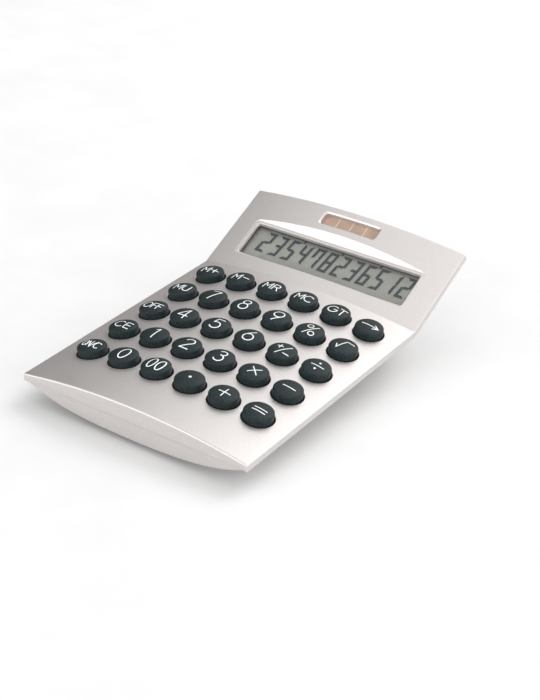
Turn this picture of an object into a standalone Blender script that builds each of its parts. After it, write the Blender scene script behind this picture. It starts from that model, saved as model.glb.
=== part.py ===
"""Desk calculator: crowned key deck, tilted display, thirty round keys, dual power.

Three frames carry the pieces.  The floor frame is the world: +Z up, +X to the user's right,
+Y away from the user.  The deck frame lies in the key deck, tilted up towards the back, with
its origin on the crown line at the middle of the key grid.  The display frame is turned
further about the fold between key deck and display.  In both, x runs across, y runs along
the surface and z is the height over the crown line.  Metres throughout.
"""

import math

import bmesh
import bpy
from mathutils import Matrix, Vector

MM = 0.001

# Case
BODY_WIDTH = 100.0 * MM
DECK_TILT = math.radians(4.0)
FOLD_ANGLE = math.radians(24.9)
FRONT_LENGTH = 61.7 * MM          # key grid centre to front edge
REAR_LENGTH = 50.1 * MM           # key grid centre to fold
DISPLAY_LENGTH = 41.9 * MM        # fold to back edge
CROWN_RADIUS = 285.7 * MM
LIP_HEIGHT = 3.0 * MM
LIP_WALL = 1.8 * MM
DECK_WALL = 1.8 * MM
END_WALL = 1.8 * MM
FRONT_DEPTH = 14.1 * MM           # crown line to lowest point of the front wall
BACK_DEPTH = 10.5 * MM
EDGE_ROUND = 0.6 * MM
HULL_WALL = 1.6 * MM
HULL_TAIL_ANGLE = math.radians(17.0)
HULL_FILL_RUN = 14.0 * MM         # run over which the end sections fill out
HULL_BLEND = 4.0 * MM
GROUND_GAP = 2.0 * MM             # floor to the flat of the hull

# Clearances
GAP = 0.3 * MM
SEAM_GAP = 0.5 * MM
KEY_GAP = 0.4 * MM
SCREW_GAP = 0.3 * MM

# Keys
KEY_COLUMNS = 6
KEY_ROWS = 5
KEY_PITCH_X = 15.0 * MM
KEY_PITCH_Y = 18.6 * MM
KEY_RADIUS = 5.8 * MM
KEY_WALL_HEIGHT = 2.0 * MM        # straight wall over the deck
KEY_HEIGHT = 3.7 * MM             # crown of the cap over the deck
KEY_TRAVEL = 1.4 * MM
KEY_FLANGE_WIDTH = 1.0 * MM
KEY_FLANGE_THICK = 0.7 * MM
KEY_STEM_RADIUS = 2.6 * MM
KEY_SIDES = 16

# Keypad stack
STACK_DEPTH = 8.4 * MM            # crown line to the top of the membrane
MEMBRANE_THICK = 0.8 * MM
BOARD_THICK = 1.2 * MM
BOARD_HALF_WIDTH = 41.0 * MM
BOARD_HALF_LENGTH = 45.0 * MM
BOARD_CORNER = 2.0 * MM
CHIP_RADIUS = 6.0 * MM
CHIP_HEIGHT = 1.4 * MM
CHIP_X = -14.0 * MM
CHIP_Y = -8.0 * MM

# Display window and what lies behind it
WINDOW_HALF_WIDTH = 38.5 * MM
WINDOW_FRONT = 8.35 * MM
WINDOW_BACK = 24.0 * MM
WINDOW_DEPTH = 4.0 * MM
WINDOW_STEP = 1.4 * MM
WINDOW_STEP_RUN = 1.7 * MM
WINDOW_FACET_SLOPE = 0.96         # run over rise of the long facets
FRAME_BORDER = 3.6 * MM
LENS_BORDER = 2.2 * MM
LENS_THICK = 1.0 * MM
LCD_THICK = 2.0 * MM
RETAINER_THICK = 1.5 * MM
RETAINER_BORDER = 2.4 * MM
RETAINER_POST_X = 25.0 * MM
RETAINER_EAR = 4.6 * MM
RIBBON_HALF_WIDTH = 28.0 * MM
RIBBON_THICK = 0.3 * MM

# Solar window and cell
SOLAR_HALF_WIDTH = 13.2 * MM
SOLAR_FRONT = 32.4 * MM
SOLAR_BACK = 38.2 * MM
SOLAR_BEVEL = 0.9 * MM
SOLAR_BORDER = 1.3 * MM
SOLAR_THICK = 1.1 * MM
WIRE_RADIUS = 0.5 * MM
WIRE_X = 35.0 * MM

# Screws
POST_RADIUS = 2.7 * MM
SCREW_RADIUS = 1.2 * MM
SCREW_HEAD_RADIUS = 2.3 * MM
SCREW_HEAD_HEIGHT = 1.5 * MM
SCREW_LENGTH = 3.6 * MM
WELL_WALL = 1.2 * MM
WELL_FLOOR = 1.2 * MM
WELL_RECESS = 2.3 * MM
CASE_SCREW_X = 38.0 * MM
CASE_SCREW_FRONT = -53.0 * MM
CASE_SCREW_BACK = 34.0 * MM       # in the display frame
SMALL_POST_RADIUS = 2.2 * MM
SMALL_SCREW_RADIUS = 0.9 * MM
SMALL_HEAD_RADIUS = 1.8 * MM
SMALL_HEAD_HEIGHT = 1.0 * MM
SMALL_SCREW_LENGTH = 3.4 * MM

# Feet
FOOT_RADIUS = 5.0 * MM
FOOT_PAD_WALL = 1.2 * MM
FOOT_PAD_HEIGHT = 1.5 * MM        # floor to the rim of the pad
FOOT_RECESS = 0.5 * MM
FOOT_X = 31.0 * MM
FOOT_FRONT = -43.0 * MM
FOOT_BACK = 38.0 * MM

# Battery
CELL_RADIUS = 5.8 * MM
CELL_HEIGHT = 3.05 * MM
CELL_Y = 16.0 * MM                # in the deck frame
BAY_HALF_WIDTH = 8.6 * MM
BAY_HALF_LENGTH = 8.2 * MM
BAY_WALL = 1.3 * MM
CONTACT_THICK = 0.3 * MM
CONTACT_WIDTH = 4.0 * MM
DOOR_HALF_WIDTH = 10.5 * MM
DOOR_HALF_LENGTH = 10.5 * MM
DOOR_THICK = 1.6 * MM
DOOR_PIN_RADIUS = 0.55 * MM
DOOR_PIN_LENGTH = 1.2 * MM
DOOR_GRIP_HALF_WIDTH = 4.0 * MM
DOOR_GRIP_INSET = 1.4 * MM
DOOR_GRIP_LENGTH = 2.2 * MM

HALF_WIDTH = BODY_WIDTH / 2.0
HULL_HALF_WIDTH = HALF_WIDTH - LIP_WALL - SEAM_GAP
CROWN_STEPS = 12
HULL_STEPS = 16
ROUND_SIDES = 12


# ---------------------------------------------------------------- frames

def crown(x):
    """Height of the crowned surface over the crown line, across the body."""
    return math.sqrt(CROWN_RADIUS ** 2 - x ** 2) - CROWN_RADIUS


LIP_DEPTH = LIP_HEIGHT - crown(HALF_WIDTH)


def deck_origin():
    """Deck origin in the floor frame: hull at its ground gap, body centred over the origin."""
    back_tilt = DECK_TILT + FOLD_ANGLE
    height = GROUND_GAP + FRONT_DEPTH * math.cos(DECK_TILT) + FRONT_LENGTH * math.sin(DECK_TILT)
    front = -FRONT_LENGTH * math.cos(DECK_TILT)
    back = REAR_LENGTH * math.cos(DECK_TILT) + DISPLAY_LENGTH * math.cos(back_tilt)
    back += BACK_DEPTH * math.sin(back_tilt)
    return Vector((0.0, -(front + back) / 2.0, height))


DECK = Matrix.Translation(deck_origin()) @ Matrix.Rotation(DECK_TILT, 4, "X")
FOLD = Matrix.Translation((0.0, REAR_LENGTH, 0.0)) @ Matrix.Rotation(FOLD_ANGLE, 4, "X")


def station(y):
    """Frame of a cross-section on the key deck."""
    return Matrix.Translation((0.0, y, 0.0))


def display_station(y):
    """Frame of a cross-section on the display, seen from the deck frame."""
    return FOLD @ Matrix.Translation((0.0, y, 0.0))


def fold_station():
    """Mitre plane at the fold, stretched so that both decks meet in it."""
    turn = Matrix.Rotation(FOLD_ANGLE / 2.0, 4, "X")
    stretch = Matrix.Scale(1.0 / math.cos(FOLD_ANGLE / 2.0), 4, (0.0, 0.0, 1.0))
    return Matrix.Translation((0.0, REAR_LENGTH, 0.0)) @ turn @ stretch


# ---------------------------------------------------------------- hull form

def smoothstep(t):
    t = min(max(t, 0.0), 1.0)
    return t * t * (3.0 - 2.0 * t)


def hull_rise(x, fullness):
    """Rise of the belly from its keel (0) to the lip (1), lens-shaped to full."""
    t = min(abs(x) / HULL_HALF_WIDTH, 1.0)
    lens = 0.40 * t ** 2 + 0.60 * t ** 4
    full = 0.10 * t ** 2 + 0.90 * t ** 8
    return lens + (full - lens) * fullness


def hull_height(x, depth, fullness):
    return -depth + (depth - LIP_DEPTH) * hull_rise(x, fullness)


def deck_keel(y):
    """Keel depth under the key deck: the keel runs level with the floor."""
    return FRONT_DEPTH + (y + FRONT_LENGTH) * math.tan(DECK_TILT)


def display_keel(y):
    """Keel depth under the display: level with the floor, then rising in a straight tail."""
    tilt = DECK_TILT + FOLD_ANGLE
    fold_height = (FRONT_LENGTH + REAR_LENGTH) * math.sin(DECK_TILT)
    fold_height += FRONT_DEPTH * math.cos(DECK_TILT)
    level = (fold_height + y * math.sin(tilt)) / math.cos(tilt)
    tail = BACK_DEPTH + (DISPLAY_LENGTH - y) * math.tan(HULL_TAIL_ANGLE)
    near = max(HULL_BLEND - abs(level - tail), 0.0) / HULL_BLEND
    return min(level, tail) - near * near * HULL_BLEND / 4.0


def deck_fullness(y):
    return smoothstep((y + FRONT_LENGTH) / HULL_FILL_RUN)


def display_fullness(y):
    return smoothstep((DISPLAY_LENGTH - y) / HULL_FILL_RUN)


# ---------------------------------------------------------------- building blocks

def clear_scene():
    for obj in list(bpy.data.objects):
        bpy.data.objects.remove(obj, do_unlink=True)


def make_collection(name):
    collection = bpy.data.collections.new(name)
    bpy.context.scene.collection.children.link(collection)
    return collection


def make_material(name, colour, roughness, metallic=0.0):
    material = bpy.data.materials.new(name)
    material.use_nodes = True
    shader = material.node_tree.nodes["Principled BSDF"]
    shader.inputs["Base Color"].default_value = (*colour, 1.0)
    shader.inputs["Roughness"].default_value = roughness
    shader.inputs["Metallic"].default_value = metallic
    return material


clear_scene()
PARTS = make_collection("desk_calculator")
CUTTERS = make_collection("cutters")
MATERIALS = {
    "case": make_material("case", (0.62, 0.61, 0.60), 0.35, 0.6),
    "key": make_material("key", (0.035, 0.047, 0.05), 0.55),
    "lens": make_material("lens", (0.85, 0.88, 0.85), 0.05),
    "lcd": make_material("lcd", (0.30, 0.33, 0.29), 0.25),
    "solar": make_material("solar", (0.42, 0.26, 0.18), 0.3),
    "board": make_material("board", (0.05, 0.22, 0.10), 0.5),
    "membrane": make_material("membrane", (0.55, 0.56, 0.56), 0.7),
    "resin": make_material("resin", (0.02, 0.02, 0.02), 0.4),
    "plastic": make_material("plastic", (0.12, 0.12, 0.13), 0.5),
    "ribbon": make_material("ribbon", (0.65, 0.50, 0.25), 0.4),
    "rubber": make_material("rubber", (0.05, 0.05, 0.05), 0.8),
    "steel": make_material("steel", (0.60, 0.60, 0.62), 0.3, 1.0),
    "contact": make_material("contact", (0.75, 0.74, 0.70), 0.25, 1.0),
    "wire_positive": make_material("wire_positive", (0.55, 0.04, 0.03), 0.45),
    "wire_negative": make_material("wire_negative", (0.02, 0.02, 0.02), 0.45),
}


def make_object(name, data, material, frame):
    obj = bpy.data.objects.new(name, data)
    if material is None:
        CUTTERS.objects.link(obj)
        obj.display_type = "WIRE"
        obj.hide_render = True
    else:
        PARTS.objects.link(obj)
        data.materials.append(MATERIALS[material])
    obj.matrix_world = frame
    return obj


def mesh_from(name, shape):
    bmesh.ops.recalc_face_normals(shape, faces=shape.faces)
    mesh = bpy.data.meshes.new(name)
    shape.to_mesh(mesh)
    shape.free()
    return mesh


def add_cylinder(shape, radius, low, high, sides=ROUND_SIDES):
    """Upright cylinder between two points, added to a bmesh."""
    axis = high - low
    turn = axis.to_track_quat("Z", "Y").to_matrix().to_4x4()
    place = Matrix.Translation((low + high) / 2.0) @ turn
    bmesh.ops.create_cone(
        shape, cap_ends=True, segments=sides, radius1=radius, radius2=radius,
        depth=axis.length, matrix=place,
    )


def add_box(shape, low, high):
    """Box between two corners, added to a bmesh."""
    size = Vector(high) - Vector(low)
    centre = (Vector(high) + Vector(low)) / 2.0
    place = Matrix.Translation(centre) @ Matrix.Diagonal((*size, 1.0))
    bmesh.ops.create_cube(shape, size=1.0, matrix=place)


def loft_mesh(name, rings):
    """Closed solid through rings of equal, even count, capped by strips from half to half."""
    shape = bmesh.new()
    loops = [[shape.verts.new(point) for point in ring] for ring in rings]
    count = len(loops[0])
    for first, second in zip(loops, loops[1:]):
        for i in range(count):
            j = (i + 1) % count
            shape.faces.new((first[i], first[j], second[j], second[i]))
    for loop in (loops[0], loops[-1]):
        for i in range(count // 2 - 1):
            shape.faces.new((loop[i], loop[i + 1], loop[count - 2 - i], loop[count - 1 - i]))
    bmesh.ops.triangulate(shape, faces=shape.faces)
    return mesh_from(name, shape)


def sheet_mesh(name, rows):
    """Open sheet through rows of equal count."""
    shape = bmesh.new()
    lines = [[shape.verts.new(point) for point in row] for row in rows]
    for first, second in zip(lines, lines[1:]):
        for i in range(len(first) - 1):
            shape.faces.new((first[i], first[i + 1], second[i + 1], second[i]))
    mesh = bpy.data.meshes.new(name)
    shape.to_mesh(mesh)
    shape.free()
    return mesh


def rectangle_ring(half_width, front, back, height):
    return [
        (-half_width, front, height), (half_width, front, height),
        (half_width, back, height), (-half_width, back, height),
    ]


def round_outline(radius, centre, sides=ROUND_SIDES):
    points = []
    for i in range(sides):
        angle = 2.0 * math.pi * (i + 0.5) / sides
        points.append((centre[0] + radius * math.cos(angle), centre[1] + radius * math.sin(angle)))
    return points


def rounded_rectangle(half_width, front, back, corner, steps=3):
    """Outline with rounded corners, anticlockwise."""
    points = []
    centres = (
        (half_width - corner, back - corner), (-half_width + corner, back - corner),
        (-half_width + corner, front + corner), (half_width - corner, front + corner),
    )
    for quarter, centre in enumerate(centres):
        for i in range(steps + 1):
            angle = math.pi / 2.0 * (quarter + i / steps)
            x = centre[0] + corner * math.cos(angle)
            points.append((x, centre[1] + corner * math.sin(angle)))
    return points


def plate(name, outlines, top, thickness, material, frame):
    """Flat plate with its top at a given height; outlines after the first are holes."""
    curve = bpy.data.curves.new(name, "CURVE")
    curve.dimensions = "2D"
    curve.fill_mode = "BOTH"
    curve.extrude = thickness / 2.0
    for outline in outlines:
        spline = curve.splines.new("POLY")
        spline.points.add(len(outline) - 1)
        for point, (x, y) in zip(spline.points, outline):
            point.co = (x, y, 0.0, 1.0)
        spline.use_cyclic_u = True
    place = Matrix.Translation((0.0, 0.0, top - thickness / 2.0))
    return make_object(name, curve, material, frame @ place)


def turned(name, profile, material, frame, sides=ROUND_SIDES):
    """Body of revolution from a profile (radius, height) listed from top to bottom."""
    mesh = bpy.data.meshes.new(name)
    points = [(radius, 0.0, height) for radius, height in profile]
    edges = [(i, i + 1) for i in range(len(points) - 1)]
    mesh.from_pydata(points, edges, [])
    obj = make_object(name, mesh, material, frame)
    screw = obj.modifiers.new("turn", "SCREW")
    screw.axis = "Z"
    screw.steps = sides
    screw.render_steps = sides
    screw.use_merge_vertices = True
    screw.merge_threshold = 0.00001
    screw.use_smooth_shade = True
    return obj


def boolean(target, operation, operand):
    modifier = target.modifiers.new(operand.name, "BOOLEAN")
    modifier.operation = operation
    modifier.solver = "EXACT"
    modifier.object = operand


# ---------------------------------------------------------------- top cover

def crown_points(depth, half_width, steps=CROWN_STEPS):
    """Points across the crowned surface from left to right, at a depth under it."""
    points = []
    for i in range(steps + 1):
        x = half_width * (2.0 * i / steps - 1.0)
        points.append((x, crown(x) - depth))
    return points


def case_section(depth):
    """Closed outline of the body: crowned top with rounded edges, then lips and belly."""
    flat = HALF_WIDTH - EDGE_ROUND
    drop = crown(flat)
    mid = EDGE_ROUND * math.sqrt(0.5)
    right = [(flat + mid, drop - EDGE_ROUND + mid), (HALF_WIDTH, drop - EDGE_ROUND)]
    left = [(-x, z) for x, z in reversed(right)]
    top = left + crown_points(0.0, flat) + right
    steps = len(top) - 3
    belly = [(HALF_WIDTH, -LIP_DEPTH)]
    for i in range(steps + 1):
        x = HULL_HALF_WIDTH * (1.0 - 2.0 * i / steps)
        belly.append((x, hull_height(x, depth, 0.0)))
    belly.append((-HALF_WIDTH, -LIP_DEPTH))
    return top + belly


def with_flat_floor(ceiling, floor):
    """Closed outline between a ceiling and a flat floor under it."""
    return ceiling + [(x, floor) for x, z in reversed(ceiling)]


def cavity_section():
    """Closed outline of the inside: crowned ceiling, straight walls, open far below."""
    ceiling = crown_points(DECK_WALL, HALF_WIDTH - LIP_WALL)
    return with_flat_floor(ceiling, -2.0 * (FRONT_DEPTH + BACK_DEPTH))


def place_ring(frame, section):
    return [frame @ Vector((x, 0.0, z)) for x, z in section]


def block_section(half_width, depth):
    """Closed outline of a block grown down from the deck to a flat underside."""
    return with_flat_floor(crown_points(DECK_WALL / 2.0, half_width), -depth)


def key_spot(column, row):
    """Frame of a key: on the crowned deck, with z along its own axis."""
    arc = (column - (KEY_COLUMNS - 1) / 2.0) * KEY_PITCH_X
    lean = arc / CROWN_RADIUS
    x = CROWN_RADIUS * math.sin(lean)
    y = ((KEY_ROWS - 1) / 2.0 - row) * KEY_PITCH_Y
    z = CROWN_RADIUS * (math.cos(lean) - 1.0)
    return Matrix.Translation((x, y, z)) @ Matrix.Rotation(lean, 4, "Y")


def board_posts():
    """Places of the board's posts, between four keys each."""
    x = KEY_PITCH_X * 2.0
    y = KEY_PITCH_Y * 1.5
    return [(-x, -y), (x, -y), (-x, y), (x, y)]


def case_posts():
    """Case screws: frame of the section plane, x, y, keel depth and fullness."""
    spots = []
    for side in (-1.0, 1.0):
        y = CASE_SCREW_FRONT
        spots.append((Matrix.Identity(4), side * CASE_SCREW_X, y, deck_keel(y), deck_fullness(y)))
    for side in (-1.0, 1.0):
        y = CASE_SCREW_BACK
        spots.append((FOLD, side * CASE_SCREW_X, y, display_keel(y), display_fullness(y)))
    return spots


def case_seat(x, depth, fullness):
    """Height of the seat that a case screw's head bears on."""
    return hull_height(x, depth, fullness) + WELL_RECESS


LENS_TOP = -(WINDOW_DEPTH + GAP) - GAP
LCD_TOP = LENS_TOP - LENS_THICK - GAP
RETAINER_TOP = LCD_TOP - LCD_THICK - GAP
RETAINER_POST_Y = WINDOW_BACK + LENS_BORDER + RETAINER_EAR
BOARD_TOP = -STACK_DEPTH - MEMBRANE_THICK - GAP


def window_cutter():
    """Display window: a stepped recess with a long facet in front and behind."""
    step_height = -WINDOW_DEPTH + WINDOW_STEP
    over = 0.6 * MM
    facet_run = (over - step_height) * WINDOW_FACET_SLOPE
    wide = WINDOW_HALF_WIDTH + WINDOW_STEP_RUN
    front = WINDOW_FRONT - WINDOW_STEP_RUN
    back = WINDOW_BACK + WINDOW_STEP_RUN
    rings = [
        rectangle_ring(WINDOW_HALF_WIDTH, WINDOW_FRONT, WINDOW_BACK, -WINDOW_DEPTH - 2.0 * GAP),
        rectangle_ring(WINDOW_HALF_WIDTH, WINDOW_FRONT, WINDOW_BACK, -WINDOW_DEPTH),
        rectangle_ring(wide, front, back, step_height),
        rectangle_ring(wide, front - facet_run, back + facet_run, over),
    ]
    return make_object("window_cutter", loft_mesh("window_cutter", rings), None, DECK @ FOLD)


def solar_cutter():
    """Solar window: straight through the deck, with a bevelled rim."""
    over = 0.4 * MM
    grow = SOLAR_BEVEL + over
    rings = [
        rectangle_ring(SOLAR_HALF_WIDTH, SOLAR_FRONT, SOLAR_BACK, -2.0 * DECK_WALL),
        rectangle_ring(SOLAR_HALF_WIDTH, SOLAR_FRONT, SOLAR_BACK, -SOLAR_BEVEL),
        rectangle_ring(SOLAR_HALF_WIDTH + grow, SOLAR_FRONT - grow, SOLAR_BACK + grow, over),
    ]
    return make_object("solar_cutter", loft_mesh("solar_cutter", rings), None, DECK @ FOLD)


def lens_pocket_cutter():
    shape = bmesh.new()
    half_width = WINDOW_HALF_WIDTH + LENS_BORDER + GAP
    low = (-half_width, WINDOW_FRONT - LENS_BORDER - GAP, RETAINER_TOP)
    high = (half_width, WINDOW_BACK + LENS_BORDER + GAP, LENS_TOP + GAP)
    add_box(shape, low, high)
    return make_object("lens_pocket", mesh_from("lens_pocket", shape), None, DECK @ FOLD)


def key_hole_cutter():
    shape = bmesh.new()
    radius = KEY_RADIUS + KEY_GAP
    for row in range(KEY_ROWS):
        for column in range(KEY_COLUMNS):
            spot = key_spot(column, row)
            low = spot @ Vector((0.0, 0.0, -2.0 * DECK_WALL))
            high = spot @ Vector((0.0, 0.0, DECK_WALL))
            add_cylinder(shape, radius, low, high, KEY_SIDES)
    return make_object("key_holes", mesh_from("key_holes", shape), None, DECK)


def case_post_solids():
    """Posts under the deck that take the case, board and retainer screws."""
    shape = bmesh.new()
    for frame, x, y, depth, fullness in case_posts():
        bottom = case_seat(x, depth, fullness) + WELL_FLOOR + GAP
        low = frame @ Vector((x, y, bottom))
        high = frame @ Vector((x, y, crown(x) - DECK_WALL / 2.0))
        add_cylinder(shape, POST_RADIUS, low, high)
    for x, y in board_posts():
        low = Vector((x, y, BOARD_TOP + GAP))
        add_cylinder(shape, SMALL_POST_RADIUS, low, Vector((x, y, crown(x) - DECK_WALL / 2.0)))
    for side in (-1.0, 1.0):
        x = side * RETAINER_POST_X
        low = FOLD @ Vector((x, RETAINER_POST_Y, RETAINER_TOP + GAP))
        high = FOLD @ Vector((x, RETAINER_POST_Y, crown(x) - DECK_WALL / 2.0))
        add_cylinder(shape, SMALL_POST_RADIUS, low, high)
    return make_object("post_solids", mesh_from("post_solids", shape), None, DECK)


def pilot_hole_cutter():
    """Blind holes for the screws, one in each post."""
    shape = bmesh.new()
    for frame, x, y, depth, fullness in case_posts():
        seat = case_seat(x, depth, fullness)
        low = frame @ Vector((x, y, seat))
        high = frame @ Vector((x, y, seat + SCREW_LENGTH + GAP))
        add_cylinder(shape, SCREW_RADIUS + SCREW_GAP, low, high, 12)
    small = SMALL_SCREW_RADIUS + SCREW_GAP
    bottom = BOARD_TOP - BOARD_THICK
    for x, y in board_posts():
        high = Vector((x, y, bottom + SMALL_SCREW_LENGTH + GAP))
        add_cylinder(shape, small, Vector((x, y, bottom)), high, 12)
    bottom = RETAINER_TOP - RETAINER_THICK
    for side in (-1.0, 1.0):
        x = side * RETAINER_POST_X
        low = FOLD @ Vector((x, RETAINER_POST_Y, bottom))
        high = FOLD @ Vector((x, RETAINER_POST_Y, bottom + SMALL_SCREW_LENGTH + GAP))
        add_cylinder(shape, small, low, high, 12)
    return make_object("pilot_holes", mesh_from("pilot_holes", shape), None, DECK)


def top_cover():
    front = place_ring(station(-FRONT_LENGTH), case_section(FRONT_DEPTH))
    fold = place_ring(fold_station(), case_section(FRONT_DEPTH))
    back = place_ring(display_station(DISPLAY_LENGTH), case_section(BACK_DEPTH))
    mesh = loft_mesh("top_cover", [front, fold, back])
    cover = make_object("top_cover", mesh, "case", DECK)

    inside = [
        place_ring(station(-FRONT_LENGTH + END_WALL), cavity_section()),
        place_ring(fold_station(), cavity_section()),
        place_ring(display_station(DISPLAY_LENGTH - END_WALL), cavity_section()),
    ]
    cavity = make_object("cavity", loft_mesh("cavity", inside), None, DECK)

    half_width = WINDOW_HALF_WIDTH + WINDOW_STEP_RUN + LENS_BORDER
    border = WINDOW_STEP_RUN + FRAME_BORDER
    section = block_section(half_width, LENS_THICK - LENS_TOP)
    rings = [
        place_ring(station(WINDOW_FRONT - border), section),
        place_ring(station(WINDOW_BACK + border), section),
    ]
    frame = make_object("window_frame", loft_mesh("window_frame", rings), None, DECK @ FOLD)

    boolean(cover, "DIFFERENCE", cavity)
    boolean(cover, "UNION", frame)
    boolean(cover, "DIFFERENCE", lens_pocket_cutter())
    boolean(cover, "DIFFERENCE", window_cutter())
    boolean(cover, "DIFFERENCE", solar_cutter())
    boolean(cover, "DIFFERENCE", key_hole_cutter())
    boolean(cover, "UNION", case_post_solids())
    boolean(cover, "DIFFERENCE", pilot_hole_cutter())


# ---------------------------------------------------------------- bottom cover

def hull_rows():
    """Rows of the belly from the front wall to the back wall, in the deck frame."""
    rows = []
    inner_front = -FRONT_LENGTH + END_WALL + GAP
    inner_back = DISPLAY_LENGTH - END_WALL - GAP
    deck_span = REAR_LENGTH - inner_front
    for share in (0.0, 0.06, 0.12, 0.35, 0.6, 0.85):
        y = inner_front + share * deck_span
        rows.append(hull_row(station(y), deck_keel(y), deck_fullness(y)))
    rows.append(hull_row(fold_station(), display_keel(0.0), 1.0))
    for share in (0.18, 0.36, 0.56, 0.72, 0.86, 1.0):
        y = share * inner_back
        rows.append(hull_row(display_station(y), display_keel(y), display_fullness(y)))
    return rows


def hull_row(frame, depth, fullness):
    row = []
    for i in range(HULL_STEPS + 1):
        share = 2.0 * i / HULL_STEPS - 1.0
        x = HULL_HALF_WIDTH * math.sin(share * math.pi / 2.0)
        row.append(frame @ Vector((x, 0.0, hull_height(x, depth, fullness))))
    return row


def foot_spots():
    spots = {}
    for end, y in (("front", FOOT_FRONT), ("rear", FOOT_BACK)):
        for side, x in (("left", -FOOT_X), ("right", FOOT_X)):
            hull = DECK @ Vector((x, y, hull_height(x, deck_keel(y), deck_fullness(y))))
            spots["foot_" + end + "_" + side] = hull
    return spots


def bay_centre():
    """Centre of the battery door's outer face, in the floor frame."""
    spot = DECK @ Vector((0.0, CELL_Y, -deck_keel(CELL_Y)))
    return Vector((0.0, spot.y, GROUND_GAP))


DOOR_INSIDE = GROUND_GAP + DOOR_THICK
CELL_BOTTOM = DOOR_INSIDE + GAP
BAY_CEILING = CELL_BOTTOM + CELL_HEIGHT + 2.0 * GAP + CONTACT_THICK


def bay_solid():
    """Block that the battery bay is cut from, grown up from the hull."""
    shape = bmesh.new()
    centre = bay_centre()
    half_width = DOOR_HALF_WIDTH + GAP + BAY_WALL
    half_length = DOOR_HALF_LENGTH + GAP + BAY_WALL
    low = (-half_width, centre.y - half_length, GROUND_GAP + HULL_WALL / 2.0)
    high = (half_width, centre.y + half_length, BAY_CEILING + BAY_WALL)
    add_box(shape, low, high)
    return make_object("bay_block", mesh_from("bay_block", shape), None, Matrix.Identity(4))


def door_opening_cutter():
    shape = bmesh.new()
    centre = bay_centre()
    half_width = DOOR_HALF_WIDTH + GAP
    half_length = DOOR_HALF_LENGTH + GAP
    low = (-half_width, centre.y - half_length, 0.0)
    high = (half_width, centre.y + half_length, DOOR_INSIDE + GAP)
    add_box(shape, low, high)
    return make_object("door_opening", mesh_from("door_opening", shape), None, Matrix.Identity(4))


def bay_cutter():
    shape = bmesh.new()
    centre = bay_centre()
    low = (-BAY_HALF_WIDTH, centre.y - BAY_HALF_LENGTH, DOOR_INSIDE)
    high = (BAY_HALF_WIDTH, centre.y + BAY_HALF_LENGTH, BAY_CEILING)
    add_box(shape, low, high)
    return make_object("battery_bay", mesh_from("battery_bay", shape), None, Matrix.Identity(4))


def bay_slot_cutter():
    """Slots in the bay's ceiling for the tabs of the two contacts."""
    shape = bmesh.new()
    centre = bay_centre()
    half_width = CONTACT_WIDTH / 2.0 + GAP
    for side in (-1.0, 1.0):
        inner = side * (BAY_HALF_WIDTH - CONTACT_THICK - 3.0 * GAP)
        outer = side * BAY_HALF_WIDTH
        low = (min(inner, outer), centre.y - half_width, BAY_CEILING - GAP)
        high = (max(inner, outer), centre.y + half_width, BAY_CEILING + 2.0 * BAY_WALL)
        add_box(shape, low, high)
    return make_object("bay_slots", mesh_from("bay_slots", shape), None, Matrix.Identity(4))


def hinge_axis():
    """Centre of the door's hinge, in the floor frame."""
    centre = bay_centre()
    inset = DOOR_THICK / 2.0
    return Vector((0.0, centre.y + DOOR_HALF_LENGTH - inset, GROUND_GAP + inset))


def hinge_socket_cutter():
    shape = bmesh.new()
    axis = hinge_axis()
    reach = DOOR_HALF_WIDTH + DOOR_PIN_LENGTH + 2.0 * GAP
    low = axis - Vector((reach, 0.0, 0.0))
    high = axis + Vector((reach, 0.0, 0.0))
    add_cylinder(shape, DOOR_PIN_RADIUS + GAP, low, high, 12)
    return make_object("hinge_sockets", mesh_from("hinge_sockets", shape), None, Matrix.Identity(4))


def well_solids():
    """Bosses inside the hull around the case screws."""
    shape = bmesh.new()
    radius = SCREW_HEAD_RADIUS + SCREW_GAP + WELL_WALL
    for frame, x, y, depth, fullness in case_posts():
        low = frame @ Vector((x, y, hull_height(x, depth, fullness) + HULL_WALL / 2.0))
        high = frame @ Vector((x, y, case_seat(x, depth, fullness) + WELL_FLOOR))
        add_cylinder(shape, radius, low, high)
    return make_object("well_solids", mesh_from("well_solids", shape), None, DECK)


def well_cutter():
    """Counterbores and through holes of the case screws."""
    shape = bmesh.new()
    for frame, x, y, depth, fullness in case_posts():
        seat = case_seat(x, depth, fullness)
        low = frame @ Vector((x, y, seat - 3.0 * WELL_RECESS))
        add_cylinder(shape, SCREW_HEAD_RADIUS + SCREW_GAP, low, frame @ Vector((x, y, seat)))
    return make_object("well_cutter", mesh_from("well_cutter", shape), None, DECK)


def well_hole_cutter():
    shape = bmesh.new()
    for frame, x, y, depth, fullness in case_posts():
        seat = case_seat(x, depth, fullness)
        low = frame @ Vector((x, y, seat - GAP))
        high = frame @ Vector((x, y, seat + 2.0 * WELL_FLOOR))
        add_cylinder(shape, SCREW_RADIUS + SCREW_GAP, low, high, 12)
    return make_object("well_holes", mesh_from("well_holes", shape), None, DECK)


def foot_pad_solids():
    shape = bmesh.new()
    for spot in foot_spots().values():
        low = Vector((spot.x, spot.y, FOOT_PAD_HEIGHT))
        high = Vector((spot.x, spot.y, spot.z + HULL_WALL))
        add_cylinder(shape, FOOT_RADIUS + GAP + FOOT_PAD_WALL, low, high)
    return make_object("foot_pads", mesh_from("foot_pads", shape), None, Matrix.Identity(4))


def foot_recess_cutter():
    shape = bmesh.new()
    for spot in foot_spots().values():
        low = Vector((spot.x, spot.y, 0.0))
        high = Vector((spot.x, spot.y, FOOT_PAD_HEIGHT + FOOT_RECESS))
        add_cylinder(shape, FOOT_RADIUS + GAP, low, high)
    return make_object("foot_recesses", mesh_from("foot_recesses", shape), None, Matrix.Identity(4))


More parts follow.
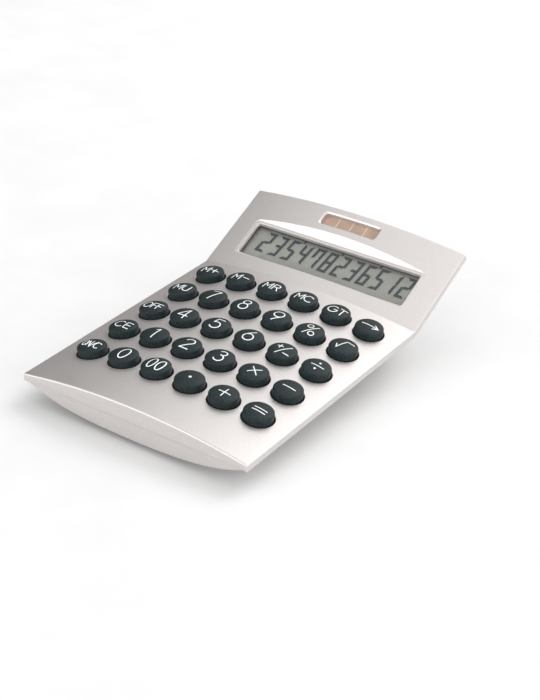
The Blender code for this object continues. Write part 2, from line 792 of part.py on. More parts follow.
def bottom_cover():
    mesh = sheet_mesh("bottom_cover", hull_rows())
    cover = make_object("bottom_cover", mesh, "case", DECK)
    wall = cover.modifiers.new("wall", "SOLIDIFY")
    wall.thickness = HULL_WALL
    wall.offset = 1.0
    wall.use_even_offset = True
    boolean(cover, "UNION", bay_solid())
    boolean(cover, "UNION", well_solids())
    boolean(cover, "UNION", foot_pad_solids())
    boolean(cover, "DIFFERENCE", door_opening_cutter())
    boolean(cover, "DIFFERENCE", bay_cutter())
    boolean(cover, "DIFFERENCE", bay_slot_cutter())
    boolean(cover, "DIFFERENCE", hinge_socket_cutter())
    boolean(cover, "DIFFERENCE", well_cutter())
    boolean(cover, "DIFFERENCE", well_hole_cutter())
    boolean(cover, "DIFFERENCE", foot_recess_cutter())


def feet():
    height = FOOT_PAD_HEIGHT + FOOT_RECESS - GAP
    edge = 0.3 * MM
    for name, spot in foot_spots().items():
        profile = [
            (0.0, height), (FOOT_RADIUS, height), (FOOT_RADIUS, edge),
            (FOOT_RADIUS - edge, 0.0), (0.0, 0.0),
        ]
        turned(name, profile, "rubber", Matrix.Translation((spot.x, spot.y, 0.0)))


# ---------------------------------------------------------------- battery

def battery_door():
    """Flat door on two pins at its rear corners, with a rounded hinge edge."""
    axis = hinge_axis()
    inset = DOOR_THICK / 2.0
    front = inset - 2.0 * DOOR_HALF_LENGTH
    section = []
    for i in range(6):
        angle = math.pi * (0.5 - i / 5.0)
        section.append((inset * math.cos(angle), inset * math.sin(angle)))
    section += [(front, -inset), (front, inset)]
    rings = []
    for x in (-DOOR_HALF_WIDTH, DOOR_HALF_WIDTH):
        rings.append([(x, y, z) for y, z in section])
    door = make_object("battery_door", loft_mesh("battery_door", rings), "case",
                       Matrix.Translation(axis))
    shape = bmesh.new()
    reach = DOOR_HALF_WIDTH + DOOR_PIN_LENGTH
    add_cylinder(shape, DOOR_PIN_RADIUS, Vector((-reach, 0.0, 0.0)), Vector((reach, 0.0, 0.0)), 12)
    pins = make_object("door_pins", mesh_from("door_pins", shape), None, Matrix.Translation(axis))
    boolean(door, "UNION", pins)
    shape = bmesh.new()
    low = (-DOOR_GRIP_HALF_WIDTH, front + DOOR_GRIP_INSET, -inset - GAP)
    high = (DOOR_GRIP_HALF_WIDTH, front + DOOR_GRIP_INSET + DOOR_GRIP_LENGTH, -inset / 2.0)
    add_box(shape, low, high)
    grip = make_object("door_grip", mesh_from("door_grip", shape), None, Matrix.Translation(axis))
    boolean(door, "DIFFERENCE", grip)


def battery_cell():
    rim = 0.5 * MM
    cap = CELL_RADIUS - 1.0 * MM
    profile = [
        (0.0, CELL_HEIGHT), (cap, CELL_HEIGHT), (cap + rim / 2.0, CELL_HEIGHT - rim),
        (CELL_RADIUS, CELL_HEIGHT - 1.5 * rim), (CELL_RADIUS, 0.2 * MM),
        (CELL_RADIUS - 0.2 * MM, 0.0), (0.0, 0.0),
    ]
    centre = bay_centre()
    turned("battery_cell", profile, "steel", Matrix.Translation((0.0, centre.y, CELL_BOTTOM)), 24)


def contact_top(y):
    """Underside of the board over a point of the battery bay, in the floor frame."""
    height = DECK @ Vector((0.0, CELL_Y, BOARD_TOP - BOARD_THICK))
    return height.z + (y - height.y) * math.tan(DECK_TILT)


def battery_contact(name, section):
    """Strip of sprung metal with a constant section across its width."""
    centre = bay_centre()
    rings = []
    for y in (centre.y - CONTACT_WIDTH / 2.0, centre.y + CONTACT_WIDTH / 2.0):
        rings.append([(x, y, z) for x, z in section])
    return make_object(name, loft_mesh(name, rings), "contact", Matrix.Identity(4))


def battery_contacts():
    """The positive strip stands beside the cell, the negative one reaches over its cap."""
    centre = bay_centre()
    top = contact_top(centre.y - CONTACT_WIDTH / 2.0) - GAP
    outer = BAY_HALF_WIDTH - GAP
    inner = outer - CONTACT_THICK
    battery_contact("battery_contact_positive", [
        (inner, CELL_BOTTOM), (outer, CELL_BOTTOM), (outer, top), (inner, top),
    ])
    low = CELL_BOTTOM + CELL_HEIGHT + GAP
    high = low + CONTACT_THICK
    battery_contact("battery_contact_negative", [
        (-outer, top), (-outer, low), (CELL_RADIUS / 2.0, low), (CELL_RADIUS / 2.0, high),
        (-inner, high), (-inner, top),
    ])


# ---------------------------------------------------------------- keypad stack

def stem_length(column):
    """Stem from the flange to where its travel ends on the membrane, along the key's axis."""
    spot = key_spot(column, 0)
    rest = -STACK_DEPTH + KEY_TRAVEL + GAP
    lean = abs(spot.to_euler().y)
    return (spot.translation.z - rest) / math.cos(lean) - KEY_STEM_RADIUS * math.tan(lean)


def key_profile(column):
    flange_top = -DECK_WALL - GAP
    flange_bottom = flange_top - KEY_FLANGE_THICK
    stem_end = min(-stem_length(column), flange_bottom - GAP)
    shoulder = KEY_RADIUS * 0.84
    shoulder_height = KEY_WALL_HEIGHT + (KEY_HEIGHT - KEY_WALL_HEIGHT) * 0.6
    flange = KEY_RADIUS + KEY_FLANGE_WIDTH
    return [
        (0.0, KEY_HEIGHT), (shoulder, shoulder_height), (KEY_RADIUS, KEY_WALL_HEIGHT),
        (KEY_RADIUS, flange_top), (flange, flange_top),
        (flange, flange_bottom), (KEY_STEM_RADIUS, flange_bottom), (KEY_STEM_RADIUS, stem_end),
        (0.0, stem_end),
    ]


KEY_NAMES = (
    ("key_memory_plus", "key_memory_minus", "key_memory_recall", "key_memory_clear",
     "key_grand_total", "key_backspace"),
    ("key_markup", "key_7", "key_8", "key_9", "key_percent", "key_root"),
    ("key_off", "key_4", "key_5", "key_6", "key_sign", "key_divide"),
    ("key_clear_entry", "key_1", "key_2", "key_3", "key_multiply", "key_minus"),
    ("key_on_clear", "key_0", "key_00", "key_point", "key_plus", "key_equals"),
)


def keys():
    for row, names in enumerate(KEY_NAMES):
        for column, name in enumerate(names):
            frame = DECK @ key_spot(column, row)
            turned(name, key_profile(column), "key", frame, KEY_SIDES)


def keypad_membrane():
    outline = rounded_rectangle(BOARD_HALF_WIDTH, -BOARD_HALF_LENGTH, BOARD_HALF_LENGTH, BOARD_CORNER)
    outlines = [outline]
    for spot in board_posts():
        outlines.append(round_outline(SMALL_POST_RADIUS + GAP, spot))
    plate("keypad_membrane", outlines, -STACK_DEPTH, MEMBRANE_THICK, "membrane", DECK)


def main_board():
    outline = rounded_rectangle(BOARD_HALF_WIDTH, -BOARD_HALF_LENGTH, BOARD_HALF_LENGTH, BOARD_CORNER)
    outlines = [outline]
    for spot in board_posts():
        outlines.append(round_outline(SMALL_SCREW_RADIUS + SCREW_GAP, spot, 12))
    plate("main_board", outlines, BOARD_TOP, BOARD_THICK, "board", DECK)


def controller_chip():
    top = BOARD_TOP - BOARD_THICK - GAP
    profile = [
        (0.0, 0.0), (CHIP_RADIUS, 0.0), (CHIP_RADIUS * 0.8, -CHIP_HEIGHT * 0.7),
        (0.0, -CHIP_HEIGHT),
    ]
    turned("controller_chip", profile, "resin", DECK @ Matrix.Translation((CHIP_X, CHIP_Y, top)))


def screw(name, frame, radius, length, head_radius, head_height):
    """Screw with its head down; its origin is where the head meets the seat."""
    profile = [
        (0.0, length), (radius, length), (radius, 0.0), (head_radius, 0.0),
        (head_radius, -head_height * 0.6), (head_radius * 0.7, -head_height), (0.0, -head_height),
    ]
    turned(name, profile, "steel", frame, 12)


def screws():
    names = ("case_screw_front_left", "case_screw_front_right",
             "case_screw_rear_left", "case_screw_rear_right")
    for name, (frame, x, y, depth, fullness) in zip(names, case_posts()):
        place = Matrix.Translation((x, y, case_seat(x, depth, fullness) - GAP))
        screw(name, DECK @ frame @ place, SCREW_RADIUS, SCREW_LENGTH,
              SCREW_HEAD_RADIUS, SCREW_HEAD_HEIGHT)
    seat = BOARD_TOP - BOARD_THICK - GAP
    names = ("board_screw_front_left", "board_screw_front_right",
             "board_screw_rear_left", "board_screw_rear_right")
    for name, (x, y) in zip(names, board_posts()):
        screw(name, DECK @ Matrix.Translation((x, y, seat)), SMALL_SCREW_RADIUS,
              SMALL_SCREW_LENGTH, SMALL_HEAD_RADIUS, SMALL_HEAD_HEIGHT)
    seat = RETAINER_TOP - RETAINER_THICK - GAP
    for name, side in (("retainer_screw_left", -1.0), ("retainer_screw_right", 1.0)):
        place = Matrix.Translation((side * RETAINER_POST_X, RETAINER_POST_Y, seat))
        screw(name, DECK @ FOLD @ place, SMALL_SCREW_RADIUS, SMALL_SCREW_LENGTH,
              SMALL_HEAD_RADIUS, SMALL_HEAD_HEIGHT)


# ---------------------------------------------------------------- display stack

def window_plate(name, border, top, thickness, material, corner):
    """Plate behind the display window, wider than it by a border all round."""
    half_width = WINDOW_HALF_WIDTH + border
    front = WINDOW_FRONT - border
    back = WINDOW_BACK + border
    outline = rounded_rectangle(half_width, front, back, corner)
    return plate(name, [outline], top, thickness, material, DECK @ FOLD)


def display_stack():
    window_plate("display_lens", LENS_BORDER, LENS_TOP, LENS_THICK, "lens", 0.8 * MM)
    window_plate("lcd_panel", LENS_BORDER - GAP, LCD_TOP, LCD_THICK, "lcd", 0.5 * MM)


def lcd_retainer():
    """Open frame that holds the panel up against the window, with two screwed ears."""
    half_width = WINDOW_HALF_WIDTH + LENS_BORDER - 2.0 * GAP
    front = WINDOW_FRONT - LENS_BORDER
    back = WINDOW_BACK + LENS_BORDER
    ear = SMALL_HEAD_RADIUS + GAP
    outline = [(-half_width, front), (half_width, front), (half_width, back)]
    for x in (RETAINER_POST_X, -RETAINER_POST_X):
        outline.append((x + 1.6 * ear, back))
        for i in range(5):
            angle = math.pi * i / 4.0
            outline.append((x + ear * math.cos(angle), RETAINER_POST_Y + ear * math.sin(angle)))
        outline.append((x - 1.6 * ear, back))
    outline.append((-half_width, back))
    opening = rounded_rectangle(half_width - 2.0 * RETAINER_BORDER, front + 2.0 * RETAINER_BORDER,
                                back - RETAINER_BORDER, 1.0 * MM, 2)
    outlines = [outline, opening]
    for side in (-1.0, 1.0):
        spot = (side * RETAINER_POST_X, RETAINER_POST_Y)
        outlines.append(round_outline(SMALL_SCREW_RADIUS + SCREW_GAP, spot, 12))
    plate("lcd_retainer", outlines, RETAINER_TOP, RETAINER_THICK, "plastic", DECK @ FOLD)


def lcd_ribbon():
    """Flat heat-seal ribbon from the panel's front edge down under the board."""
    start = FOLD @ Vector((0.0, WINDOW_FRONT - LENS_BORDER - GAP, LCD_TOP - LCD_THICK / 2.0))
    under = BOARD_TOP - BOARD_THICK - GAP - RIBBON_THICK
    reach = BOARD_HALF_LENGTH
    path = [
        (start.y, start.z), (start.y - 1.2 * MM, start.z - 1.4 * MM),
        (reach + 4.0 * MM, under + 1.2 * MM), (reach + 1.0 * MM, under + 0.1 * MM),
        (reach - 1.0 * MM, under), (reach - 7.0 * MM, under),
    ]
    rows = [[(x, y, z) for x in (-RIBBON_HALF_WIDTH, RIBBON_HALF_WIDTH)] for y, z in path]
    ribbon = make_object("lcd_ribbon", sheet_mesh("lcd_ribbon", rows), "ribbon", DECK)
    wall = ribbon.modifiers.new("thickness", "SOLIDIFY")
    wall.thickness = RIBBON_THICK
    wall.offset = 0.0
    wall.use_even_offset = True


def solar_cell():
    half_width = SOLAR_HALF_WIDTH + SOLAR_BORDER
    front = SOLAR_FRONT - SOLAR_BORDER
    back = SOLAR_BACK + SOLAR_BORDER
    outline = rounded_rectangle(half_width, front, back, 0.4 * MM, 1)
    top = crown(half_width) - DECK_WALL - GAP
    plate("solar_cell", [outline], top, SOLAR_THICK, "solar", DECK @ FOLD)


def solar_wires():
    """Two wires from the back of the cell, round the display, to the board's rear edge."""
    cell_back = crown(SOLAR_HALF_WIDTH) - DECK_WALL - GAP - SOLAR_THICK - GAP - 2.0 * WIRE_RADIUS
    below = RETAINER_TOP - RETAINER_THICK - 3.0 * WIRE_RADIUS
    under = BOARD_TOP - BOARD_THICK - GAP - 2.0 * WIRE_RADIUS
    middle = (SOLAR_FRONT + SOLAR_BACK) / 2.0
    for name, side in (("solar_wire_positive", 1.0), ("solar_wire_negative", -1.0)):
        inner = side * (RETAINER_POST_X - 3.0 * SMALL_POST_RADIUS)
        route = [
            FOLD @ Vector((side * SOLAR_HALF_WIDTH * 0.8, middle, cell_back)),
            FOLD @ Vector((side * SOLAR_HALF_WIDTH, middle, cell_back - 1.0 * MM)),
            FOLD @ Vector((inner, middle - 2.0 * MM, cell_back - 2.5 * MM)),
            FOLD @ Vector((inner, WINDOW_BACK + LENS_BORDER + 2.0 * MM, below)),
            FOLD @ Vector((side * WIRE_X * 0.85, WINDOW_BACK - 2.0 * MM, below - 0.5 * MM)),
            FOLD @ Vector((side * WIRE_X, WINDOW_FRONT, below)),
            Vector((side * WIRE_X, BOARD_HALF_LENGTH + 3.0 * MM, under - 1.0 * MM)),
            Vector((side * WIRE_X, BOARD_HALF_LENGTH - 2.0 * MM, under)),
            Vector((side * WIRE_X, BOARD_HALF_LENGTH - 5.0 * MM, under)),
        ]
        curve = bpy.data.curves.new(name, "CURVE")
        curve.dimensions = "3D"
        curve.bevel_depth = WIRE_RADIUS
        curve.bevel_resolution = 1
        curve.use_fill_caps = True
        spline = curve.splines.new("POLY")
        spline.points.add(len(route) - 1)
        for point, spot in zip(spline.points, route):
            point.co = (*spot, 1.0)
        make_object(name, curve, "wire_positive" if side > 0.0 else "wire_negative", DECK)


top_cover()
bottom_cover()
feet()
battery_door()
battery_cell()
battery_contacts()
keys()
keypad_membrane()
main_board()
controller_chip()
screws()
display_stack()
lcd_retainer()
lcd_ribbon()
solar_cell()
solar_wires()
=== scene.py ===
"""Looks of the desk calculator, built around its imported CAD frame.

Lengths are in millimetres in the script's own frames and become metres when a mesh is made.
"""

import math

import bpy
from mathutils import Matrix, Vector
from mathutils.geometry import delaunay_2d_cdt


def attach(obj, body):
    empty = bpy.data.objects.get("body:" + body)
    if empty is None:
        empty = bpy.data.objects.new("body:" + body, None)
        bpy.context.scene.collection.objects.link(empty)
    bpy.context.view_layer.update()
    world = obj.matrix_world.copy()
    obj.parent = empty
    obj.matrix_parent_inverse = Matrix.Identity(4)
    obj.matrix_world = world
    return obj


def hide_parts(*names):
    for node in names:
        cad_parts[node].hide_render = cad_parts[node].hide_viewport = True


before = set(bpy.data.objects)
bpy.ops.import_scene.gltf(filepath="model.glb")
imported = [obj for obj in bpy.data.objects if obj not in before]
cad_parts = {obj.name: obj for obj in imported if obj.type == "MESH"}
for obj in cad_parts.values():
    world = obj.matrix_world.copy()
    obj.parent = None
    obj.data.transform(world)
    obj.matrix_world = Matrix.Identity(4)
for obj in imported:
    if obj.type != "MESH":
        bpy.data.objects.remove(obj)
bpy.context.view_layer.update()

# ---------------------------------------------------------------- sizes
DECK_TILT = math.radians(4.0)
FOLD_ANGLE = math.radians(24.9)
HALF_WIDTH = 50.0
FRONT_LENGTH = 61.7               # key grid centre to front edge
REAR_LENGTH = 50.1                # key grid centre to fold
DISPLAY_LENGTH = 41.9             # fold to back edge
CROWN_RADIUS = 285.7
FOLD_RADIUS = 1.1
LIP_HEIGHT = 3.0
LIP_WALL = 1.8
LIP_INSIDE = 2.4                  # height of the inner face of a lip or end wall
DECK_WALL = 1.8
END_WALL = 1.8
FRONT_DEPTH = 14.1
BACK_DEPTH = 10.5
GROUND_GAP = 2.0
RIM = 0.65                        # rounding round the top of the body
LOWER_RIM = 0.5
HULL_HALF_WIDTH = HALF_WIDTH - LIP_WALL - 0.5
HULL_TAIL_ANGLE = math.radians(17.0)
HULL_FILL_RUN = 14.0
HULL_BLEND = 4.0
GAP = 0.3

KEY_COLUMNS = 6
KEY_ROWS = 5
KEY_PITCH_X = 15.0
KEY_PITCH_Y = 18.6
KEY_HOLE = 6.25
KEY_HOLE_ROUND = 0.22
KEY_SEGMENTS = 64
KEY_CROWN = 3.7                   # top of a key over the deck
KEY_SHOULDER_RADIUS = 5.45
KEY_SHOULDER_RUN = 0.55           # stretch of the dome that the rounded shoulder takes up
KEY_SHOULDER = 2.9                # height of that shoulder over the deck
KEY_FLANGE_TOP = -2.1
KEY_FLANGE_BOTTOM = -2.8
STEM_CLEARANCE = 0.4
LEGEND_WIDTH = 0.46
SYMBOL_WIDTH = 0.40
LEGEND_RISE = 0.03
LEGEND_SHIFT = (0.40, -0.30)      # print offset from the key's axis

WINDOW_HALF_WIDTH = 38.5          # clear window's visible edge in the CAD frame
WINDOW_FRONT = 8.35
WINDOW_BACK = 24.0
WINDOW_DEPTH = 4.0
SIGHT_HALF_WIDTH = 38.9           # inner wall of the frame
SIGHT_FRONT = 8.15
SIGHT_BACK = 24.3
SIGHT_CORNER = 0.8
WALL_FLARE = 0.4                  # run of the slope from the ledge down to the inner wall
WALL_CORNER = 1.1
LEDGE_DEPTH = 3.0
LEDGE_LEAST = 0.3                 # least depth of the ledge below the crown
LEDGE_DRAFT = 0.12
LEDGE_CORNER = 1.3
WINDOW_ROUND = 0.22
LEDGE_HALF_WIDTH = 40.2
LEDGE_FRONT = 6.88
LEDGE_BACK = 25.93
FACET_SLOPE = 0.96
FRONT_FACET_SLOPE = 0.2
LENS_TOP = -4.6
LENS_THICK = 1.0
LENS_BORDER = 2.2
WINDOW_SHADE_LINE = 0.3                 # width of a dark strip painted round the clear part, as shade for the gap between frame and display
PANEL_TOP = -5.9
PANEL_THICK = 2.0

SOLAR_HALF_WIDTH = 13.0
SOLAR_FRONT = 32.4
SOLAR_BACK = 38.2
SOLAR_BEVEL = 0.6
SOLAR_CORNER = 1.2
SOLAR_BORDER = 1.3
SOLAR_THICK = 1.1
SOLAR_CELLS = 4
CELL_LINE = 0.12                  # half width of the line between two cells
CELL_LINE_INSET = 0.2

CASE_SCREW_X = 38.0
CASE_SCREW_FRONT = -53.0
CASE_SCREW_BACK = 34.0
WELL_RADIUS = 2.6
WELL_RECESS = 2.3
WELL_ROUND = 0.2
WELL_HOLE_RADIUS = 1.5
WELL_HOLE_DEPTH = 1.2
SCREW_HEAD_RADIUS = 2.3
SCREW_HEAD_HEIGHT = 1.5
SCREW_FLAT_RADIUS = 1.7           # flat part of the head, round the cross
SCREW_RADIUS = 1.2
SCREW_LENGTH = 3.6
CROSS_ARM = 1.15
CROSS_HALF_WIDTH = 0.3
CROSS_TAPER = 0.75
CROSS_FLOOR = -0.6
FOOT_RADIUS = 5.0
FOOT_X = 31.0
FOOT_FRONT = -43.0
FOOT_BACK = 38.0
FOOT_PAD_RADIUS = 6.5
FOOT_PAD_HEIGHT = 1.5
FOOT_PAD_FLARE = 0.3
FOOT_PAD_RISE = 1.2
FOOT_RECESS = 0.5
CELL_Y = 16.0
DOOR_HALF = 10.5
DOOR_THICK = 1.6
DOOR_ROUND = 0.15                 # rounding of the opening's edge
FINGER_HALF_WIDTH = 4.0           # recess that a finger opens the door by
FINGER_FRONT = -9.1
FINGER_BACK = -6.9
FINGER_DEPTH = 0.8
PIN_INSET = 0.8                   # hinge pin's axis from the door's edge and outer face
PIN_RADIUS = 0.55
PIN_REACH = 1.2
PIN_CHAMFER = 0.1
BAY_HALF_WIDTH = 8.6
BAY_HALF_LENGTH = 8.2
BAY_CEILING = 7.85

GRID_STEP = 2.0

# surround: white, falling to dark round DARK_SIDE, which the left of the key deck mirrors
WORLD_STRENGTH = 1.1
DARK_SIDE = (-0.85, 0.30, 0.10)
BRIGHT_UP_TO = 0.52
DARK_FROM = 0.95
DARK_LEVEL = 0.02
# name, place and size in metres, power in watts
SOFTBOXES = (
    ("key", (0.45, 1.45, 1.95), (1.4, 1.4), 20.0),
    ("back", (-0.1, 2.1, 1.4), (2.8, 2.0), 6.0),
    ("front", (-0.9, -1.9, 0.5), (2.6, 0.95), 16.0),
    ("right", (1.9, -0.4, 0.45), (1.8, 0.8), 10.0),
)

# ---------------------------------------------------------------- frames and form

def crown(x):
    return math.sqrt(CROWN_RADIUS ** 2 - x ** 2) - CROWN_RADIUS


LIP_DEPTH = LIP_HEIGHT - crown(HALF_WIDTH)


def deck_origin():
    back_tilt = DECK_TILT + FOLD_ANGLE
    height = GROUND_GAP + FRONT_DEPTH * math.cos(DECK_TILT) + FRONT_LENGTH * math.sin(DECK_TILT)
    front = -FRONT_LENGTH * math.cos(DECK_TILT)
    back = REAR_LENGTH * math.cos(DECK_TILT) + DISPLAY_LENGTH * math.cos(back_tilt)
    back += BACK_DEPTH * math.sin(back_tilt)
    return Vector((0.0, -(front + back) / 2.0, height))


DECK = Matrix.Translation(deck_origin()) @ Matrix.Rotation(DECK_TILT, 4, "X")
FOLD = Matrix.Translation((0.0, REAR_LENGTH, 0.0)) @ Matrix.Rotation(FOLD_ANGLE, 4, "X")
DISPLAY = DECK @ FOLD
MITRE = math.tan(FOLD_ANGLE / 2.0)


def key_spot(column, row):
    """Frame of a key: on the crowned deck, with z along its own axis."""
    arc = (column - (KEY_COLUMNS - 1) / 2.0) * KEY_PITCH_X
    lean = arc / CROWN_RADIUS
    x = CROWN_RADIUS * math.sin(lean)
    y = ((KEY_ROWS - 1) / 2.0 - row) * KEY_PITCH_Y
    z = CROWN_RADIUS * (math.cos(lean) - 1.0)
    return Matrix.Translation((x, y, z)) @ Matrix.Rotation(lean, 4, "Y")


def smoothstep(t):
    t = min(max(t, 0.0), 1.0)
    return t * t * (3.0 - 2.0 * t)


def hull_rise(x, fullness):
    t = min(abs(x) / HULL_HALF_WIDTH, 1.0)
    lens = 0.40 * t ** 2 + 0.60 * t ** 4
    full = 0.10 * t ** 2 + 0.90 * t ** 8
    return lens + (full - lens) * fullness


def hull_height(x, depth, fullness):
    return -depth + (depth - LIP_DEPTH) * hull_rise(x, fullness)


def deck_keel(y):
    return FRONT_DEPTH + (y + FRONT_LENGTH) * math.tan(DECK_TILT)


def display_keel(y):
    tilt = DECK_TILT + FOLD_ANGLE
    fold_height = (FRONT_LENGTH + REAR_LENGTH) * math.sin(DECK_TILT)
    fold_height += FRONT_DEPTH * math.cos(DECK_TILT)
    level = (fold_height + y * math.sin(tilt)) / math.cos(tilt)
    tail = BACK_DEPTH + (DISPLAY_LENGTH - y) * math.tan(HULL_TAIL_ANGLE)
    near = max(HULL_BLEND - abs(level - tail), 0.0) / HULL_BLEND
    return min(level, tail) - near * near * HULL_BLEND / 4.0


def deck_fullness(y):
    return smoothstep((y + FRONT_LENGTH) / HULL_FILL_RUN)


def display_fullness(y):
    return smoothstep((DISPLAY_LENGTH - y) / HULL_FILL_RUN)


# ---------------------------------------------------------------- mesh helpers
MM = 0.001


def add_object(name, data):
    obj = bpy.data.objects.new(name, data)
    bpy.context.scene.collection.objects.link(obj)
    return obj


class Shape:
    """Vertices and faces of one piece, in millimetres; each patch keeps its own vertices."""

    def __init__(self):
        self.points = []
        self.faces = []
        self.smooth = []
        self.marks = []

    def add(self, matrix, points, faces, smooth=True, mark=0):
        base = len(self.points)
        self.points += [matrix @ Vector(point) for point in points]
        self.faces += [tuple(base + i for i in face) for face in faces]
        self.smooth += [smooth] * len(faces)
        self.marks += [mark] * len(faces)

    def strip(self, matrix, rows, closed=False, smooth=True, mark=0):
        """Quads between rows of equal count; closed rows run round."""
        count = len(rows[0])
        faces = []
        for i in range(len(rows) - 1):
            for j in range(count if closed else count - 1):
                k = (j + 1) % count
                faces.append((i * count + j, i * count + k,
                              (i + 1) * count + k, (i + 1) * count + j))
        self.add(matrix, [point for row in rows for point in row], faces, smooth, mark)

    def fan(self, matrix, ring, flip=False, mark=0):
        """One flat face over a ring."""
        face = tuple(reversed(range(len(ring)))) if flip else tuple(range(len(ring)))
        self.add(matrix, ring, [face], False, mark)

    def build(self, name, materials, body, node=None):
        mesh = bpy.data.meshes.new(name)
        mesh.from_pydata([point * MM for point in self.points], [], self.faces)
        mesh.polygons.foreach_set("use_smooth", self.smooth)
        mesh.polygons.foreach_set("material_index", self.marks)
        for material in materials:
            mesh.materials.append(material)
        mesh.update()
        obj = add_object(name, mesh)
        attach(obj, body)
        if node:
            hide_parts(node)
        return obj


def flipped(faces):
    return [tuple(reversed(face)) for face in faces]


def inside(point, loop):
    """True where a point lies within a closed loop."""
    x, y = point
    within = False
    for (x1, y1), (x2, y2) in zip(loop, loop[1:] + loop[:1]):
        if (y1 > y) != (y2 > y) and x < x1 + (y - y1) / (y2 - y1) * (x2 - x1):
            within = not within
    return within


def bounds_of(loop, margin):
    xs = [point[0] for point in loop]
    ys = [point[1] for point in loop]
    return min(xs) - margin, max(xs) + margin, min(ys) - margin, max(ys) + margin


def clear_of(point, loop, box, margin):
    """True where a grid point is outside a hole and not too close to its edge."""
    if not (box[0] < point[0] < box[1] and box[2] < point[1] < box[3]):
        return True
    if inside(point, loop):
        return False
    return all((point[0] - x) ** 2 + (point[1] - y) ** 2 > margin ** 2 for x, y in loop)


def fill(outline, holes, xs, ys, margin=0.6):
    """Triangles over a flat region: its outline, its holes and an inner grid of points."""
    boxes = [bounds_of(hole, margin) for hole in holes]
    points = []
    edges = []
    for loop in [outline] + holes:
        base = len(points)
        points += [Vector(point) for point in loop]
        edges += [(base + i, base + (i + 1) % len(loop)) for i in range(len(loop))]
    outer = bounds_of(outline, 0.0)
    for x in xs:
        for y in ys:
            if not (outer[0] + margin < x < outer[1] - margin):
                continue
            if not (outer[2] + margin < y < outer[3] - margin):
                continue
            if all(clear_of((x, y), hole, box, margin) for hole, box in zip(holes, boxes)):
                points.append(Vector((x, y)))
    found, _, triangles, _, _, _ = delaunay_2d_cdt(points, edges, [], 0, 1e-6)
    kept = []
    for triangle in triangles:
        centre = (sum(found[i].x for i in triangle) / 3.0, sum(found[i].y for i in triangle) / 3.0)
        if not inside(centre, outline):
            continue
        blocked = False
        for hole, box in zip(holes, boxes):
            if box[0] < centre[0] < box[1] and box[2] < centre[1] < box[3]:
                blocked = blocked or inside(centre, hole)
        if not blocked:
            kept.append(tuple(triangle))
    return [(point.x, point.y) for point in found], kept


def even(low, high, count):
    """Values from low to high in a given number of equal steps."""
    return [low + (high - low) * i / count for i in range(count + 1)]


def spread(low, high, step):
    """Even values from low to high, about a step apart."""
    return even(low, high, max(1, round((high - low) / step)))


def arc(centre, radius, start, end, steps):
    """Points of an arc; angles in degrees."""
    points = []
    for i in range(steps + 1):
        angle = math.radians(start + (end - start) * i / steps)
        points.append((centre[0] + radius * math.cos(angle), centre[1] + radius * math.sin(angle)))
    return points


def circle(x, y, radius, count):
    points = []
    for i in range(count):
        angle = 2.0 * math.pi * i / count
        points.append((x + radius * math.cos(angle), y + radius * math.sin(angle)))
    return points


def rounded_loop(left, right, front, back, corner, along=36, across=8, steps=6):
    """Rounded rectangle with a fixed number of points, anticlockwise from its front left."""
    loop = []
    sides = (
        ((left + corner, front), (right - corner, front), along, (right - corner, front + corner), -90),
        ((right, front + corner), (right, back - corner), across, (right - corner, back - corner), 0),
        ((right - corner, back), (left + corner, back), along, (left + corner, back - corner), 90),
        ((left, back - corner), (left, front + corner), across, (left + corner, front + corner), 180),
    )
    for start, end, count, centre, angle in sides:
        for i in range(count):
            t = i / count
            loop.append((start[0] + (end[0] - start[0]) * t, start[1] + (end[1] - start[1]) * t))
        loop += arc(centre, corner, angle, angle + 90, steps)[:-1]
    return loop


def revolve(shape, matrix, profile, count=KEY_SEGMENTS):
    """Body of revolution; the profile runs (radius, height) from the top down or inwards."""
    rows = []
    for radius, height in profile:
        rows.append([(x, y, height) for x, y in circle(0.0, 0.0, max(radius, 0.001), count)])
    rows.reverse()
    shape.strip(matrix, rows, closed=True)


def rounded_profile(corners, steps=5):
    """Profile through (radius, height, rounding) corners, each rounded by an arc-like curve."""
    points = []
    for i, (x, z, rounding) in enumerate(corners):
        here = Vector((x, z))
        if rounding <= 0.0 or i in (0, len(corners) - 1):
            points.append((x, z))
            continue
        before = Vector(corners[i - 1][:2]) - here
        after = Vector(corners[i + 1][:2]) - here
        start = here + before.normalized() * min(rounding, before.length * 0.49)
        end = here + after.normalized() * min(rounding, after.length * 0.49)
        for k in range(steps + 1):
            t = k / steps
            point = start * (1.0 - t) ** 2 + here * 2.0 * t * (1.0 - t) + end * t ** 2
            points.append((point.x, point.y))
    return points


# ---------------------------------------------------------------- materials

def srgb(red, green, blue):
    """Linear colour from the usual 0-255 screen values."""
    linear = []
    for value in (red, green, blue):
        value /= 255.0
        linear.append(value / 12.92 if value <= 0.04045 else ((value + 0.055) / 1.055) ** 2.4)
    return (*linear, 1.0)


def eased_ramp(nodes, first, last):
    made = nodes.new("ShaderNodeValToRGB")
    made.color_ramp.interpolation = "EASE"
    elements = made.color_ramp.elements
    elements[0].position, elements[0].color = first
    elements[1].position, elements[1].color = last
    return made


